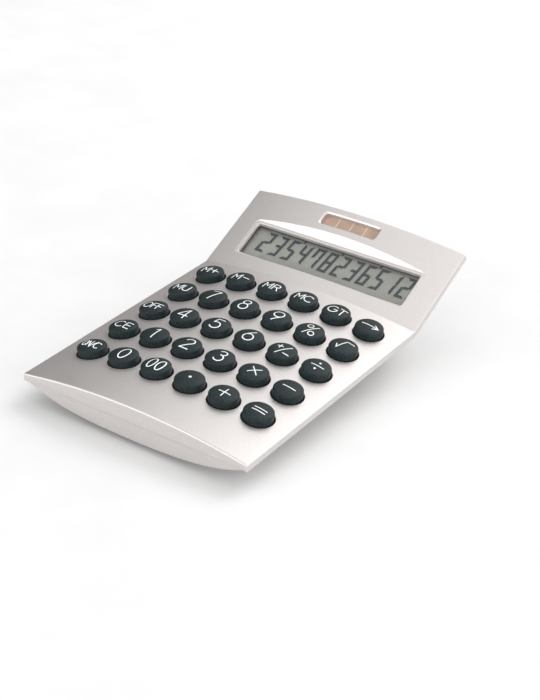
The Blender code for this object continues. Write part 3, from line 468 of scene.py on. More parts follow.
class Material:
    """A node material around one Principled shader."""

    def __init__(self, name, **values):
        self.material = bpy.data.materials.new(name)
        self.material.use_nodes = True
        self.nodes = self.material.node_tree.nodes
        self.links = self.material.node_tree.links
        self.shader = self.nodes["Principled BSDF"]
        self.place = None
        for socket, value in values.items():
            self.shader.inputs[socket.replace("_", " ")].default_value = value

    def node(self, kind, **values):
        made = self.nodes.new(kind)
        for socket, value in values.items():
            made.inputs[socket.replace("_", " ")].default_value = value
        return made

    def link(self, source, output, target, socket):
        self.links.new(source.outputs[output], target.inputs[socket])

    def noise(self, size, detail=2.0, rough=0.5, stretch=None):
        """Noise of a given grain size in millimetres, fixed to the object."""
        if self.place is None:
            self.place = self.nodes.new("ShaderNodeTexCoord")
        made = self.node("ShaderNodeTexNoise", Scale=1.0 / (size * MM), Detail=detail,
                         Roughness=rough)
        if stretch:
            mapping = self.node("ShaderNodeMapping", Scale=stretch)
            self.link(self.place, "Object", mapping, "Vector")
            self.link(mapping, "Vector", made, "Vector")
        else:
            self.link(self.place, "Object", made, "Vector")
        return made

    def colour(self, noise, dark, light, low=0.3, high=0.7):
        """Colour that eases from dark to light between two levels of the noise."""
        ramp = eased_ramp(self.nodes, (low, dark), (high, light))
        self.link(noise, "Fac", ramp, "Fac")
        self.link(ramp, "Color", self.shader, "Base Color")

    def roughness(self, noise, low, high):
        span = self.node("ShaderNodeMapRange", To_Min=low, To_Max=high)
        self.link(noise, "Fac", span, "Value")
        self.link(span, "Result", self.shader, "Roughness")

    def bump(self, noise, depth, strength):
        """Surface relief of a depth in millimetres."""
        made = self.node("ShaderNodeBump", Strength=strength, Distance=depth * MM)
        self.link(noise, "Fac", made, "Height")
        self.link(made, "Normal", self.shader, "Normal")


def pearl_paint():
    """Satin pearl silver: metal flake under a thin lacquer."""
    made = Material("pearl_paint", Metallic=0.8, Coat_Weight=0.22, Coat_Roughness=0.28,
                    Specular_IOR_Level=0.5)
    flake = made.noise(0.16, 3.0, 0.6)
    made.colour(flake, srgb(195, 191, 189), srgb(220, 215, 213), 0.35, 0.65)
    cloud = made.noise(9.0, 2.0)
    made.roughness(cloud, 0.38, 0.44)
    grain = made.noise(0.10, 2.0, 0.6)
    made.bump(grain, 0.0035, 0.6)
    return made.material


def key_plastic():
    """Matte slate plastic with a fine spark-eroded texture."""
    made = Material("key_plastic", Specular_IOR_Level=0.26)
    mottle = made.noise(0.42, 4.0, 0.7)
    made.colour(mottle, srgb(8, 18, 20), srgb(38, 51, 53), 0.38, 0.66)
    made.roughness(mottle, 0.50, 0.62)
    grain = made.noise(0.22, 3.0, 0.6)
    made.bump(grain, 0.012, 0.8)
    return made.material


def legend_ink():
    made = Material("legend_ink", Specular_IOR_Level=0.3)
    mottle = made.noise(0.30, 3.0)
    made.colour(mottle, srgb(222, 228, 228), srgb(246, 248, 247))
    made.roughness(mottle, 0.50, 0.62)
    return made.material


def clear_window():
    """Thin clear plastic: see-through, with a faint mirror of its own."""
    made = Material("clear_window", Base_Color=srgb(236, 240, 238), Metallic=1.0, Alpha=0.035)
    swirl = made.noise(14.0, 2.0)
    made.roughness(swirl, 0.04, 0.09)
    return made.material


def display_reflector():
    """Grey-green polariser over a brushed reflector."""
    made = Material("display_reflector", Specular_IOR_Level=0.15)
    cloud = made.noise(5.0, 3.0, 0.6)
    made.colour(cloud, srgb(134, 135, 128), srgb(142, 142, 135))
    made.roughness(cloud, 0.55, 0.65)
    grain = made.noise(0.12, 2.0, 0.6)
    made.bump(grain, 0.003, 0.5)
    return made.material


def display_ink():
    made = Material("display_ink", Specular_IOR_Level=0.3)
    mottle = made.noise(0.8, 2.0)
    made.colour(mottle, srgb(14, 28, 34), srgb(26, 42, 48))
    made.roughness(mottle, 0.40, 0.5)
    return made.material


def solar_glass():
    """Tan amorphous silicon under thin glass."""
    made = Material("solar_glass", Coat_Weight=0.5, Coat_Roughness=0.08, Specular_IOR_Level=0.5)
    cloud = made.noise(6.0, 2.0, 0.5)
    made.colour(cloud, srgb(166, 138, 120), srgb(182, 152, 133))
    made.roughness(cloud, 0.26, 0.38)
    return made.material


def speckled(name, dark, light, size, low_rough, high_rough, relief=0.0, **values):
    """Moulded or sheet material with fine variation in colour, gloss and relief."""
    made = Material(name, **values)
    mottle = made.noise(size, 4.0, 0.6)
    made.colour(mottle, dark, light)
    made.roughness(mottle, low_rough, high_rough)
    if relief:
        made.bump(mottle, relief, 0.8)
    return made.material


def brushed_metal(name, dark, light, rough):
    """Plated metal with fine drawn lines."""
    made = Material(name, Metallic=1.0, Anisotropic=0.35)
    lines = made.noise(0.5, 3.0, 0.6, stretch=(1.0, 14.0, 14.0))
    made.colour(lines, dark, light)
    made.roughness(lines, rough, rough + 0.14)
    made.bump(lines, 0.004, 0.5)
    return made.material


PAINT = pearl_paint()
KEY = key_plastic()
INK = legend_ink()
WINDOW = clear_window()
REFLECTOR = display_reflector()
DIGIT = display_ink()
SOLAR = solar_glass()
DARK = speckled("dark_plastic", srgb(26, 28, 29), srgb(38, 40, 41), 0.6, 0.45, 0.6, 0.006)
SILVER_LINE = speckled("cell_line", srgb(216, 212, 202), srgb(236, 232, 222), 0.5, 0.3, 0.45)
BOARD = speckled("solder_mask", srgb(16, 92, 48), srgb(26, 116, 62), 1.6, 0.28, 0.42, 0.006)
RESIN = speckled("epoxy", srgb(12, 12, 13), srgb(24, 24, 25), 1.2, 0.2, 0.36, 0.01)
SILICONE = speckled("silicone", srgb(176, 178, 176), srgb(196, 198, 196), 1.2, 0.5, 0.66, 0.01)
AMBER = speckled("amber_film", srgb(176, 118, 44), srgb(204, 146, 66), 1.5, 0.25, 0.4)
RED = speckled("red_insulation", srgb(160, 24, 18), srgb(190, 38, 28), 0.8, 0.35, 0.5, 0.004)
BLACK = speckled("black_insulation", srgb(18, 18, 19), srgb(34, 34, 35), 0.8, 0.35, 0.5, 0.004)
RUBBER = speckled("foot_rubber", srgb(30, 30, 31), srgb(46, 46, 47), 0.5, 0.7, 0.85, 0.02)
STEEL = brushed_metal("plated_steel", srgb(168, 168, 170), srgb(204, 204, 206), 0.24)
NICKEL = brushed_metal("nickel_strip", srgb(190, 188, 180), srgb(216, 214, 206), 0.2)
CELL = brushed_metal("cell_steel", srgb(186, 186, 188), srgb(216, 216, 218), 0.16)


# ---------------------------------------------------------------- top cover
RIM_STEPS = 6
END_STEPS = 40                    # steps along the belly of an end wall
EDGE_X = HALF_WIDTH - RIM * (1.0 - HALF_WIDTH / CROWN_RADIUS)
CROWN_XS = spread(-EDGE_X, EDGE_X, GRID_STEP)
DECK_STRETCH = 45.5               # rows beyond this follow the fold's mitre
DISPLAY_STRETCH = 2.5
DECK_RAIL_STEPS = 10
DISPLAY_RAIL_STEPS = 4


def fold_tangent(depth):
    """Distance from the crown line's fold to where the fold's rounding begins, at a depth."""
    return (depth - FOLD_RADIUS) * MITRE


def deck_point(x, y):
    """Point of the crowned deck; rows near the fold stretch onto its rounding."""
    z = crown(x)
    if y > DECK_STRETCH:
        end = REAR_LENGTH + fold_tangent(-z)
        y = DECK_STRETCH + (y - DECK_STRETCH) * (end - DECK_STRETCH) / (REAR_LENGTH - DECK_STRETCH)
    return (x, y, z)


def display_point(x, y):
    z = crown(x)
    if y < DISPLAY_STRETCH:
        start = -fold_tangent(-z)
        y = start + y * (DISPLAY_STRETCH - start) / DISPLAY_STRETCH
    return (x, y, z)


def fold_arc(x, z, steps=8):
    """Rounded fold at one point of the section, in the deck frame."""
    tangent = REAR_LENGTH + fold_tangent(-z)
    points = []
    for i in range(steps + 1):
        angle = FOLD_ANGLE * i / steps
        y = tangent + FOLD_RADIUS * math.sin(angle)
        points.append(Vector((x, y, z + FOLD_RADIUS * (1.0 - math.cos(angle)))))
    return points


def rail(x, z, front, back):
    """Line along the whole body at one point of the section, in the deck frame."""
    bend = fold_arc(x, z)
    deck = [Vector((x, y, z)) for y in even(front, bend[0].y, DECK_RAIL_STEPS)][:-1]
    start = -fold_tangent(-z)
    display = [FOLD @ Vector((x, y, z)) for y in even(start, back, DISPLAY_RAIL_STEPS)][1:]
    return deck + bend + display


def hole_ring(spot, radius, height, count=48):
    """Ring on the crowned deck round a key's axis, in the deck frame."""
    ring = []
    for x, y in circle(0.0, 0.0, radius, count):
        ring.append(spot @ Vector((x, y, height - x * x / (2.0 * CROWN_RADIUS))))
    return ring


def quarter_steps(steps=RIM_STEPS):
    return [math.pi / 2.0 * i / steps for i in range(steps + 1)]


def key_holes(shape):
    """Rounded rims and walls of the thirty key holes; returns the loops they start from."""
    loops = []
    for row in range(KEY_ROWS):
        for column in range(KEY_COLUMNS):
            spot = key_spot(column, row)
            rings = []
            for angle in quarter_steps(4):
                radius = KEY_HOLE + KEY_HOLE_ROUND * (1.0 - math.sin(angle))
                rings.append(hole_ring(spot, radius, -KEY_HOLE_ROUND * (1.0 - math.cos(angle))))
            rings.append(hole_ring(spot, KEY_HOLE, -DECK_WALL))
            rings.append(hole_ring(spot, KEY_HOLE + 2.0, -DECK_WALL))
            shape.strip(DECK, rings[:-1], closed=True)
            shape.strip(DECK, rings[-2:], closed=True, smooth=False)
            loops.append([(point.x, point.y) for point in rings[0]])
    return loops


def ring_toward(ring, other, distance):
    """Ring moved a fixed distance towards another ring, point by point."""
    moved = []
    for a, b in zip(ring, other):
        a, b = Vector(a), Vector(b)
        way = b - a
        moved.append(a + way.normalized() * min(distance, way.length * 0.45))
    return moved


def round_between(before, corner, after, distance, steps=4):
    """Rings that round off the edge at a corner ring, between its neighbours."""
    start = ring_toward(corner, before, distance)
    end = ring_toward(corner, after, distance)
    rings = []
    for i in range(steps + 1):
        t = i / steps
        ring = []
        for a, b, c in zip(start, corner, end):
            ring.append(a * (1.0 - t) ** 2 + Vector(b) * 2.0 * t * (1.0 - t) + c * t ** 2)
        rings.append(ring)
    return rings


def flat_ring(loop, height):
    return [Vector((x, y, height)) for x, y in loop]


def sight_loop():
    return rounded_loop(-SIGHT_HALF_WIDTH, SIGHT_HALF_WIDTH, SIGHT_FRONT, SIGHT_BACK,
                        SIGHT_CORNER)


def ledge_height(x):
    return min(-LEDGE_DEPTH, crown(x) - LEDGE_LEAST)


def window_frame(shape):
    """Facets, ledge and inner wall of the display window; returns its loop on the surface."""
    ledge = rounded_loop(-LEDGE_HALF_WIDTH, LEDGE_HALF_WIDTH, LEDGE_FRONT, LEDGE_BACK,
                         LEDGE_CORNER)
    wall = rounded_loop(-SIGHT_HALF_WIDTH - WALL_FLARE, SIGHT_HALF_WIDTH + WALL_FLARE,
                        SIGHT_FRONT - WALL_FLARE, SIGHT_BACK + WALL_FLARE, WALL_CORNER)
    glass = sight_loop()
    middle = (LEDGE_FRONT + LEDGE_BACK) / 2.0
    straight = (LEDGE_BACK - LEDGE_FRONT) / 2.0 - LEDGE_CORNER
    surface, outer, inner = [], [], []
    for x, y in ledge:
        z = ledge_height(x)
        side = 1.0 if y > middle else -1.0
        run = (FACET_SLOPE if y > middle else FRONT_FACET_SLOPE) * (crown(x) - z)
        share = smoothstep((abs(y - middle) - straight) / LEDGE_CORNER)
        surface.append(Vector((x + math.copysign(LEDGE_DRAFT, x), y + side * run * share, crown(x))))
        outer.append(Vector((x, y, z)))
    for x, y in wall:
        inner.append(Vector((x, y, ledge_height(x))))
    grown = [Vector((2.0 * a.x - b.x, 2.0 * a.y - b.y, a.z)) for a, b in zip(surface, outer)]
    top_round = round_between(grown, surface, outer, WINDOW_ROUND)
    bottom = flat_ring(glass, -WINDOW_DEPTH)
    edge_round = round_between(outer, inner, bottom, WINDOW_ROUND)
    loop = [(point.x, point.y) for point in top_round[0]]
    top_round[0] = [Vector((x, y, crown(x))) for x, y in loop]
    shape.strip(DISPLAY, list(reversed(top_round)), closed=True)
    shape.strip(DISPLAY, [outer, top_round[-1]], closed=True)
    shape.strip(DISPLAY, [edge_round[0], outer], closed=True, smooth=False)
    shape.strip(DISPLAY, list(reversed(edge_round)), closed=True)
    shape.strip(DISPLAY, [bottom, edge_round[-1]], closed=True)
    shape.strip(DISPLAY, [flat_ring(glass, LENS_TOP), bottom], closed=True)
    return loop


def solar_frame(shape):
    """Bevelled rim of the solar window; returns its loop on the surface."""
    top = rounded_loop(-SOLAR_HALF_WIDTH - SOLAR_BEVEL, SOLAR_HALF_WIDTH + SOLAR_BEVEL,
                       SOLAR_FRONT - SOLAR_BEVEL, SOLAR_BACK + SOLAR_BEVEL,
                       SOLAR_CORNER + 0.3, 16, 6)
    low = rounded_loop(-SOLAR_HALF_WIDTH, SOLAR_HALF_WIDTH, SOLAR_FRONT, SOLAR_BACK,
                       SOLAR_CORNER, 16, 6)
    surface = [Vector((x, y, crown(x))) for x, y in top]
    grown = [Vector((1.1 * x, 1.1 * (y - SOLAR_FRONT) + SOLAR_FRONT, crown(x))) for x, y in top]
    bevel = [Vector((x, y, crown(x) - SOLAR_BEVEL)) for x, y in low]
    under = [Vector((x, y, crown(x) - 2.0 * DECK_WALL)) for x, y in low]
    top_round = round_between(grown, surface, bevel, 0.2)
    loop = [(point.x, point.y) for point in top_round[0]]
    top_round[0] = [Vector((x, y, crown(x))) for x, y in loop]
    low_round = round_between(top_round[-1], bevel, under, 0.12)
    shape.strip(DISPLAY, list(reversed(top_round)), closed=True)
    shape.strip(DISPLAY, [low_round[0], top_round[-1]], closed=True)
    shape.strip(DISPLAY, list(reversed(low_round)), closed=True)
    shape.strip(DISPLAY, [under, low_round[-1]], closed=True)
    return loop


def region(xs, front, back, half_width):
    """Outline of a patch of the crowned surface, with the grid's own points on its ends."""
    loop = [(x, front) for x in xs]
    ys = spread(front, back, GRID_STEP)
    loop += [(half_width, y) for y in ys[1:-1]]
    loop += [(x, back) for x in reversed(xs)]
    loop += [(-half_width, y) for y in reversed(ys[1:-1])]
    return loop


def side_section(side):
    """Section of one side from the crown's edge over the rim and down the lip, then inside."""
    lean = math.degrees(math.asin(EDGE_X / CROWN_RADIUS))
    centre = (HALF_WIDTH - RIM, crown(EDGE_X) - RIM * math.cos(math.radians(lean)))
    points = arc(centre, RIM, 90.0 - lean, 0.0, RIM_STEPS)
    low = -LIP_DEPTH
    points += arc((HALF_WIDTH - LOWER_RIM, low + LOWER_RIM), LOWER_RIM, 0.0, -90.0, 5)
    points += [(HALF_WIDTH - LIP_WALL, low), (HALF_WIDTH - LIP_WALL, low + LIP_INSIDE)]
    return [(side * x, z) for x, z in points]


def end_outline(depth):
    """Closed outline of an end wall, anticlockwise seen from the front."""
    right = side_section(1.0)[:-2]
    belly = []
    for i in range(END_STEPS + 1):
        x = (HALF_WIDTH - LIP_WALL) * math.cos(math.pi * i / END_STEPS)
        height = hull_height(min(abs(x), HULL_HALF_WIDTH), depth, 0.0)
        belly.append((x, height))
    top = [(x, crown(x)) for x in CROWN_XS]
    left = [(-x, z) for x, z in reversed(right)]
    return top[:-1] + right + belly + left[:-1]


def inset(outline, distance):
    """Closed outline, anticlockwise or not, moved inwards along its own normals."""
    count = len(outline)
    area = 0.0
    for (x1, z1), (x2, z2) in zip(outline, outline[1:] + outline[:1]):
        area += x1 * z2 - x2 * z1
    turn = 1.0 if area > 0.0 else -1.0
    moved = []
    for i in range(count):
        before = Vector(outline[i - 1])
        here = Vector(outline[i])
        after = Vector(outline[(i + 1) % count])
        along = ((here - before).normalized() + (after - here).normalized()).normalized()
        normal = Vector((-along.y, along.x)) * turn
        moved.append(tuple(here + normal * distance))
    return moved


def end_wall(shape, matrix, outline, sign):
    """Rounded edge and flat face of an end wall; sign is -1 at the front and 1 at the back."""
    rings = []
    for angle in quarter_steps():
        loop = inset(outline, RIM * (1.0 - math.cos(angle)))
        depth = -sign * RIM * (1.0 - math.sin(angle))
        rings.append([Vector((x, depth, z)) for x, z in loop])
    inner = [Vector((x, -sign * (END_WALL + 0.1), z)) for x, z in outline]
    if sign > 0.0:
        shape.strip(matrix, list(reversed(rings)), closed=True)
    else:
        shape.strip(matrix, rings, closed=True)
    belly = [i for i, (x, z) in enumerate(outline) if z < -LIP_DEPTH + LOWER_RIM]
    first = [rings[0][i] for i in belly]
    second = [inner[i] for i in belly]
    rows = [second, first] if sign < 0.0 else [first, second]
    shape.strip(matrix, rows)
    rise = [point + Vector((0.0, 0.0, LIP_INSIDE)) for point in second]
    rows = [rise, second] if sign < 0.0 else [second, rise]
    shape.strip(matrix, rows)
    shape.fan(matrix, rings[-1], flip=sign > 0.0)


def top_cover():
    shape = Shape()
    front = -FRONT_LENGTH + RIM
    back = DISPLAY_LENGTH - RIM
    holes = key_holes(shape)
    outline = region(CROWN_XS, front, REAR_LENGTH, EDGE_X)
    points, faces = fill(outline, holes, CROWN_XS, spread(front, REAR_LENGTH, GRID_STEP))
    shape.add(DECK, [deck_point(x, y) for x, y in points], faces)

    windows = [window_frame(shape), solar_frame(shape)]
    outline = region(CROWN_XS, 0.0, back, EDGE_X)
    points, faces = fill(outline, windows, CROWN_XS, spread(0.0, back, GRID_STEP))
    shape.add(DISPLAY, [display_point(x, y) for x, y in points], faces)

    bend = [fold_arc(x, crown(x)) for x in CROWN_XS]
    shape.strip(DECK, [list(row) for row in zip(*bend)])
    for side in (-1.0, 1.0):
        section = side_section(side)
        rails = [rail(x, z, front, back) for x, z in section]
        rows = [list(row) for row in zip(*rails)]
        if side < 0.0:
            rows = [list(reversed(row)) for row in rows]
        shape.strip(DECK, rows)
    place = DECK @ Matrix.Translation((0.0, -FRONT_LENGTH, 0.0))
    end_wall(shape, place, end_outline(FRONT_DEPTH), -1.0)
    place = DISPLAY @ Matrix.Translation((0.0, DISPLAY_LENGTH, 0.0))
    end_wall(shape, place, end_outline(BACK_DEPTH), 1.0)
    shape.build("top_shell", [PAINT], "case", "top_cover")


# ---------------------------------------------------------------- slabs

def slab(shape, matrix, loop, top, bottom, rounding, holes=()):
    """Plate with rounded upper and lower edges; holes open its lower face only."""
    rings = []
    for angle in quarter_steps(4):
        step = rounding * (1.0 - math.sin(angle))
        rings.append([Vector((x, y, top - rounding * (1.0 - math.cos(angle))))
                      for x, y in inset(loop, step)])
    for angle in reversed(quarter_steps(4)):
        step = rounding * (1.0 - math.sin(angle))
        rings.append([Vector((x, y, bottom + rounding * (1.0 - math.cos(angle))))
                      for x, y in inset(loop, step)])
    shape.strip(matrix, list(reversed(rings)), closed=True)
    shape.fan(matrix, rings[0])
    if holes:
        outline = [(point.x, point.y) for point in rings[-1]]
        points, faces = fill(outline, list(holes), [], [])
        shape.add(matrix, [(x, y, bottom) for x, y in points], flipped(faces), False)
    else:
        shape.fan(matrix, rings[-1], flip=True)


def rectangle_loop(half_width, front, back, corner):
    return rounded_loop(-half_width, half_width, front, back, corner, 6, 6, 5)


# ---------------------------------------------------------------- keys
DOME_RISE = KEY_CROWN - KEY_SHOULDER
DOME_RADIUS = (KEY_SHOULDER_RADIUS ** 2 + DOME_RISE ** 2) / (2.0 * DOME_RISE)
KEY_WALL_RADIUS = 5.7
KEY_FOOT_RADIUS = 5.8
KEY_FLANGE_RADIUS = 6.8
KEY_STEM_RADIUS = 2.6
STEM_REACH = 6.7                  # crown line to the end of a stem


def dome(x, y):
    """Height of a key's crowned top over the deck, at a point from its axis."""
    return KEY_CROWN - DOME_RADIUS + math.sqrt(DOME_RADIUS ** 2 - x * x - y * y)


def key_cap(name, column, row):
    spot = key_spot(column, row)
    shape = Shape()
    rim = KEY_SHOULDER_RADIUS - KEY_SHOULDER_RUN
    profile = [(radius, dome(radius, 0.0)) for radius in spread(0.0, rim - 0.1, 0.4)]
    stem_end = -(STEM_REACH + spot.translation.z) + STEM_CLEARANCE
    profile += rounded_profile([
        (rim, dome(rim, 0.0), 0.0),
        (KEY_WALL_RADIUS, KEY_SHOULDER - 0.25, KEY_SHOULDER_RUN),
        (KEY_FOOT_RADIUS, KEY_FLANGE_TOP, 0.0),
    ], 8)
    profile += [
        (KEY_FLANGE_RADIUS, KEY_FLANGE_TOP), (KEY_FLANGE_RADIUS, KEY_FLANGE_BOTTOM),
        (KEY_STEM_RADIUS, KEY_FLANGE_BOTTOM), (KEY_STEM_RADIUS, stem_end), (0.0, stem_end),
    ]
    revolve(shape, DECK @ spot, profile)
    cap = shape.build(name + "_cap", [KEY], name, name)
    cap.data.set_sharp_from_angle(angle=math.radians(50.0))
    return spot


def oval(x, y, half_width, half_height, start=0.0, end=360.0, steps=32):
    count = max(6, round(steps * abs(end - start) / 360.0))
    points = []
    for i in range(count + 1):
        angle = math.radians(start + (end - start) * i / count)
        points.append((x + half_width * math.cos(angle), y + half_height * math.sin(angle)))
    return points


def ring_stroke(x, y, radius, start=0.0, end=360.0):
    return oval(x, y, radius, radius, start, end)


def half_turned(strokes):
    return [[(-x, -y) for x, y in stroke] for stroke in strokes]


SIX = [ring_stroke(0.0, -1.25, 2.05), [(0.9, 3.3), (-1.63, 0.0)]]
GLYPHS = {
    "0": [oval(0.4, 0.0, 1.75, 3.3)],
    "0_narrow": [oval(0.0, 0.0, 1.3, 3.1)],
    "1": [[(-0.7, 2.3), (0.5, 3.3), (0.5, -3.3)]],
    "2": [ring_stroke(0.4, 1.45, 1.8, 165.0, -38.0) + [(-1.45, -3.3), (2.25, -3.3)]],
    "3": [ring_stroke(0.0, 1.75, 1.55, 150.0, -90.0), ring_stroke(0.0, -1.5, 1.85, 95.0, -150.0)],
    "4": [[(1.0, -3.3), (1.0, 3.3), (-2.1, -1.5), (2.1, -1.5)]],
    "5": [[(1.6, 3.3), (-1.2, 3.3)] + ring_stroke(-0.05, -1.25, 2.05, 130.0, -150.0)],
    "6": SIX,
    "7": [[(-1.9, 3.3), (1.9, 3.3), (-0.7, -3.3)]],
    "8": [ring_stroke(0.0, 1.75, 1.5), ring_stroke(0.0, -1.5, 1.85)],
    "9": half_turned(SIX),
    "M": [[(-1.7, -2.0), (-1.7, 2.0), (0.0, -0.8), (1.7, 2.0), (1.7, -2.0)]],
    "U": [[(-1.4, 2.0)] + ring_stroke(0.0, -0.6, 1.4, 180.0, 360.0) + [(1.4, 2.0)]],
    "R": [[(-1.2, -2.0), (-1.2, 2.0), (0.3, 2.0)] + ring_stroke(0.3, 0.95, 1.05, 90.0, -90.0)
          + [(-1.2, -0.1)], [(0.3, -0.1), (1.4, -2.0)]],
    "C": [ring_stroke(0.0, 0.0, 2.05, 48.0, 312.0)],
    "G": [ring_stroke(0.0, 0.0, 2.05, 48.0, 354.0) + [(0.5, -0.2)]],
    "T": [[(-1.5, 2.0), (1.5, 2.0)], [(0.0, 2.0), (0.0, -2.0)]],
    "O": [ring_stroke(0.0, 0.0, 2.05)],
    "F": [[(1.1, 2.0), (-1.0, 2.0), (-1.0, -2.0)], [(-1.0, 0.1), (0.9, 0.1)]],
    "E": [[(1.2, 2.0), (-1.1, 2.0), (-1.1, -2.0), (1.2, -2.0)], [(-1.1, 0.0), (1.0, 0.0)]],
    "N": [[(-1.4, -2.0), (-1.4, 2.0), (1.4, -2.0), (1.4, 2.0)]],
    "plus": [[(-1.2, 0.0), (1.2, 0.0)], [(0.0, -1.2), (0.0, 1.2)]],
    "minus": [[(-1.2, 0.0), (1.2, 0.0)]],
    "slash": [[(-1.9, -3.2), (1.9, 3.2)]],
    "dot": [[(0.0, 0.0)]],
    "arrow": [[(-3.6, 0.0), (3.5, 0.0)], [(1.6, 1.3), (3.6, 0.0), (1.6, -1.3)]],
    "root": [[(-2.9, -0.8), (-2.1, -2.7), (-0.2, 2.6), (2.8, 2.6)]],
    "ring": [ring_stroke(0.0, 0.0, 1.15)],
    "times": [[(-1.9, -1.9), (1.9, 1.9)], [(-1.9, 1.9), (1.9, -1.9)]],
}


def plain_key(name, glyph=None, scale=1.0):
    """A key whose legend is one glyph on its axis."""
    return ("key_" + name, ((glyph or name, 0.0, 0.0, scale),))


# name of each key and its legend: glyph, x, y, scale and narrowing
KEYS = (
    (("key_memory_plus", (("M", -1.6, 0.0, 1.0, 0.88), ("plus", 2.3, 0.1, 1.25))),
     ("key_memory_minus", (("M", -1.5, 0.0, 1.0, 0.9), ("minus", 2.4, 0.3, 1.1))),
     ("key_memory_recall", (("M", -1.75, 0.0, 1.0, 0.9), ("R", 1.95, 0.0, 1.0, 0.95))),
     ("key_memory_clear", (("M", -1.95, 0.0, 1.0, 0.88), ("C", 2.15, 0.0, 1.0, 0.92))),
     ("key_grand_total", (("G", -1.75, 0.0, 1.0), ("T", 2.25, 0.0, 1.0))),
     plain_key("backspace", "arrow")),
    (("key_markup", (("M", -1.75, 0.0, 1.0, 0.9), ("U", 1.95, 0.0, 1.0, 0.95))),
     plain_key("7"),
     plain_key("8"),
     plain_key("9"),
     ("key_percent", (("ring", -1.3, 2.1, 1.0), ("ring", 1.3, -2.1, 1.0),
                      ("slash", 0.0, 0.0, 1.0))),
     plain_key("root")),
    (("key_off", (("O", -2.6, 0.0, 0.98, 0.82), ("F", 0.45, 0.0, 0.95, 0.78),
                  ("F", 2.75, 0.0, 0.95, 0.78))),
     plain_key("4"),
     plain_key("5"),
     plain_key("6"),
     ("key_sign", (("plus", -2.1, 1.4, 1.0), ("slash", 0.1, 0.0, 1.0),
                   ("minus", 2.2, -1.9, 1.0))),
     ("key_divide", (("minus", 0.0, 0.0, 2.2), ("dot", 0.0, 2.0, 1.3), ("dot", 0.0, -2.0, 1.3)))),
    (("key_clear_entry", (("C", -1.4, 0.0, 1.0), ("E", 2.2, 0.0, 1.0))),
     plain_key("1"),
     plain_key("2"),
     plain_key("3"),
     plain_key("multiply", "times"),
     plain_key("minus", scale=2.2)),
    (("key_on_clear", (("O", -3.1, 0.2, 0.90, 0.48), ("N", -1.05, 0.2, 0.90, 0.60),
                       ("slash", 0.8, 0.1, 0.70, 0.6), ("C", 2.55, 0.1, 0.95, 0.60))),
     plain_key("0"),
     ("key_00", (("0_narrow", -1.85, 0.0, 1.0), ("0_narrow", 1.85, 0.0, 1.0))),
     plain_key("point", "dot", 1.6),
     plain_key("plus", scale=2.0),
     ("key_equals", (("minus", 0.0, 0.8, 2.2), ("minus", 0.0, -0.8, 2.2)))),
)
CORNER_COSINE = math.cos(math.radians(35.0))
DIGIT_GLYPHS = ("0", "0_narrow", "1", "2", "3", "4", "5", "6", "7", "8", "9")
DOT_RADIUS = 0.36
DISC_STEPS = 20
INK_LAYER = 0.001                 # each stroke lies this much over the one before


def split_at_corners(points):
    """Strokes between the sharp corners of a line; each gets round ends of its own."""
    pieces = [[points[0]]]
    for i in range(1, len(points)):
        pieces[-1].append(points[i])
        if i < len(points) - 1:
            before = (Vector(points[i]) - Vector(points[i - 1])).normalized()
            after = (Vector(points[i + 1]) - Vector(points[i])).normalized()
            if before.dot(after) < CORNER_COSINE:
                pieces.append([points[i]])
    return pieces


def resampled(points, step=0.35):
    dense = [Vector(points[0])]
    for a, b in zip(points, points[1:]):
        a, b = Vector(a), Vector(b)
        count = max(1, math.ceil((b - a).length / step))
        dense += [a + (b - a) * (i + 1) / count for i in range(count)]
    return dense


def draped(points, rise):
    return [(x, y, dome(x, y) + rise) for x, y in points]


def ink_disc(shape, matrix, centre, radius, rise):
    ring = circle(centre[0], centre[1], radius, DISC_STEPS)
    faces = [(0, i + 1, (i + 1) % DISC_STEPS + 1) for i in range(DISC_STEPS)]
    shape.add(matrix, draped([tuple(centre)] + ring, rise), faces)


def ink_stroke(shape, matrix, points, width, rise):
    """Flat stroke with round ends, draped over the dome of a key."""
    dense = resampled(points)
    left, right = [], []
    for i, point in enumerate(dense):
        before = dense[max(i - 1, 0)]
        after = dense[min(i + 1, len(dense) - 1)]
        along = (after - before).normalized()
        normal = Vector((-along.y, along.x)) * width / 2.0
        left.append(tuple(point + normal))
        right.append(tuple(point - normal))
    shape.strip(matrix, [draped(right, rise), draped(left, rise)])
    for end in (dense[0], dense[-1]):
        ink_disc(shape, matrix, end, width / 2.0, rise + 2.0 * INK_LAYER)


def key_legend(name, glyphs, spot):
    shape = Shape()
    matrix = DECK @ spot
    rise = LEGEND_RISE
    for glyph, x, y, scale, *narrow in glyphs:
        wide = scale * (narrow[0] if narrow else 1.0)
        width = LEGEND_WIDTH if glyph in DIGIT_GLYPHS else SYMBOL_WIDTH
        x, y = x + LEGEND_SHIFT[0], y + LEGEND_SHIFT[1]
        for stroke in GLYPHS[glyph]:
            points = [(x + wide * px, y + scale * py) for px, py in stroke]
            if len(points) == 1:
                ink_disc(shape, matrix, points[0], DOT_RADIUS * scale, rise)
                continue
            for piece in split_at_corners(points):
                ink_stroke(shape, matrix, piece, width, rise)
                rise += INK_LAYER
    shape.build(name + "_legend", [INK], name, None)


def keys():
    for row, names in enumerate(KEYS):
        for column, (name, glyphs) in enumerate(names):
            spot = key_cap(name, column, row)
            key_legend(name, glyphs, spot)


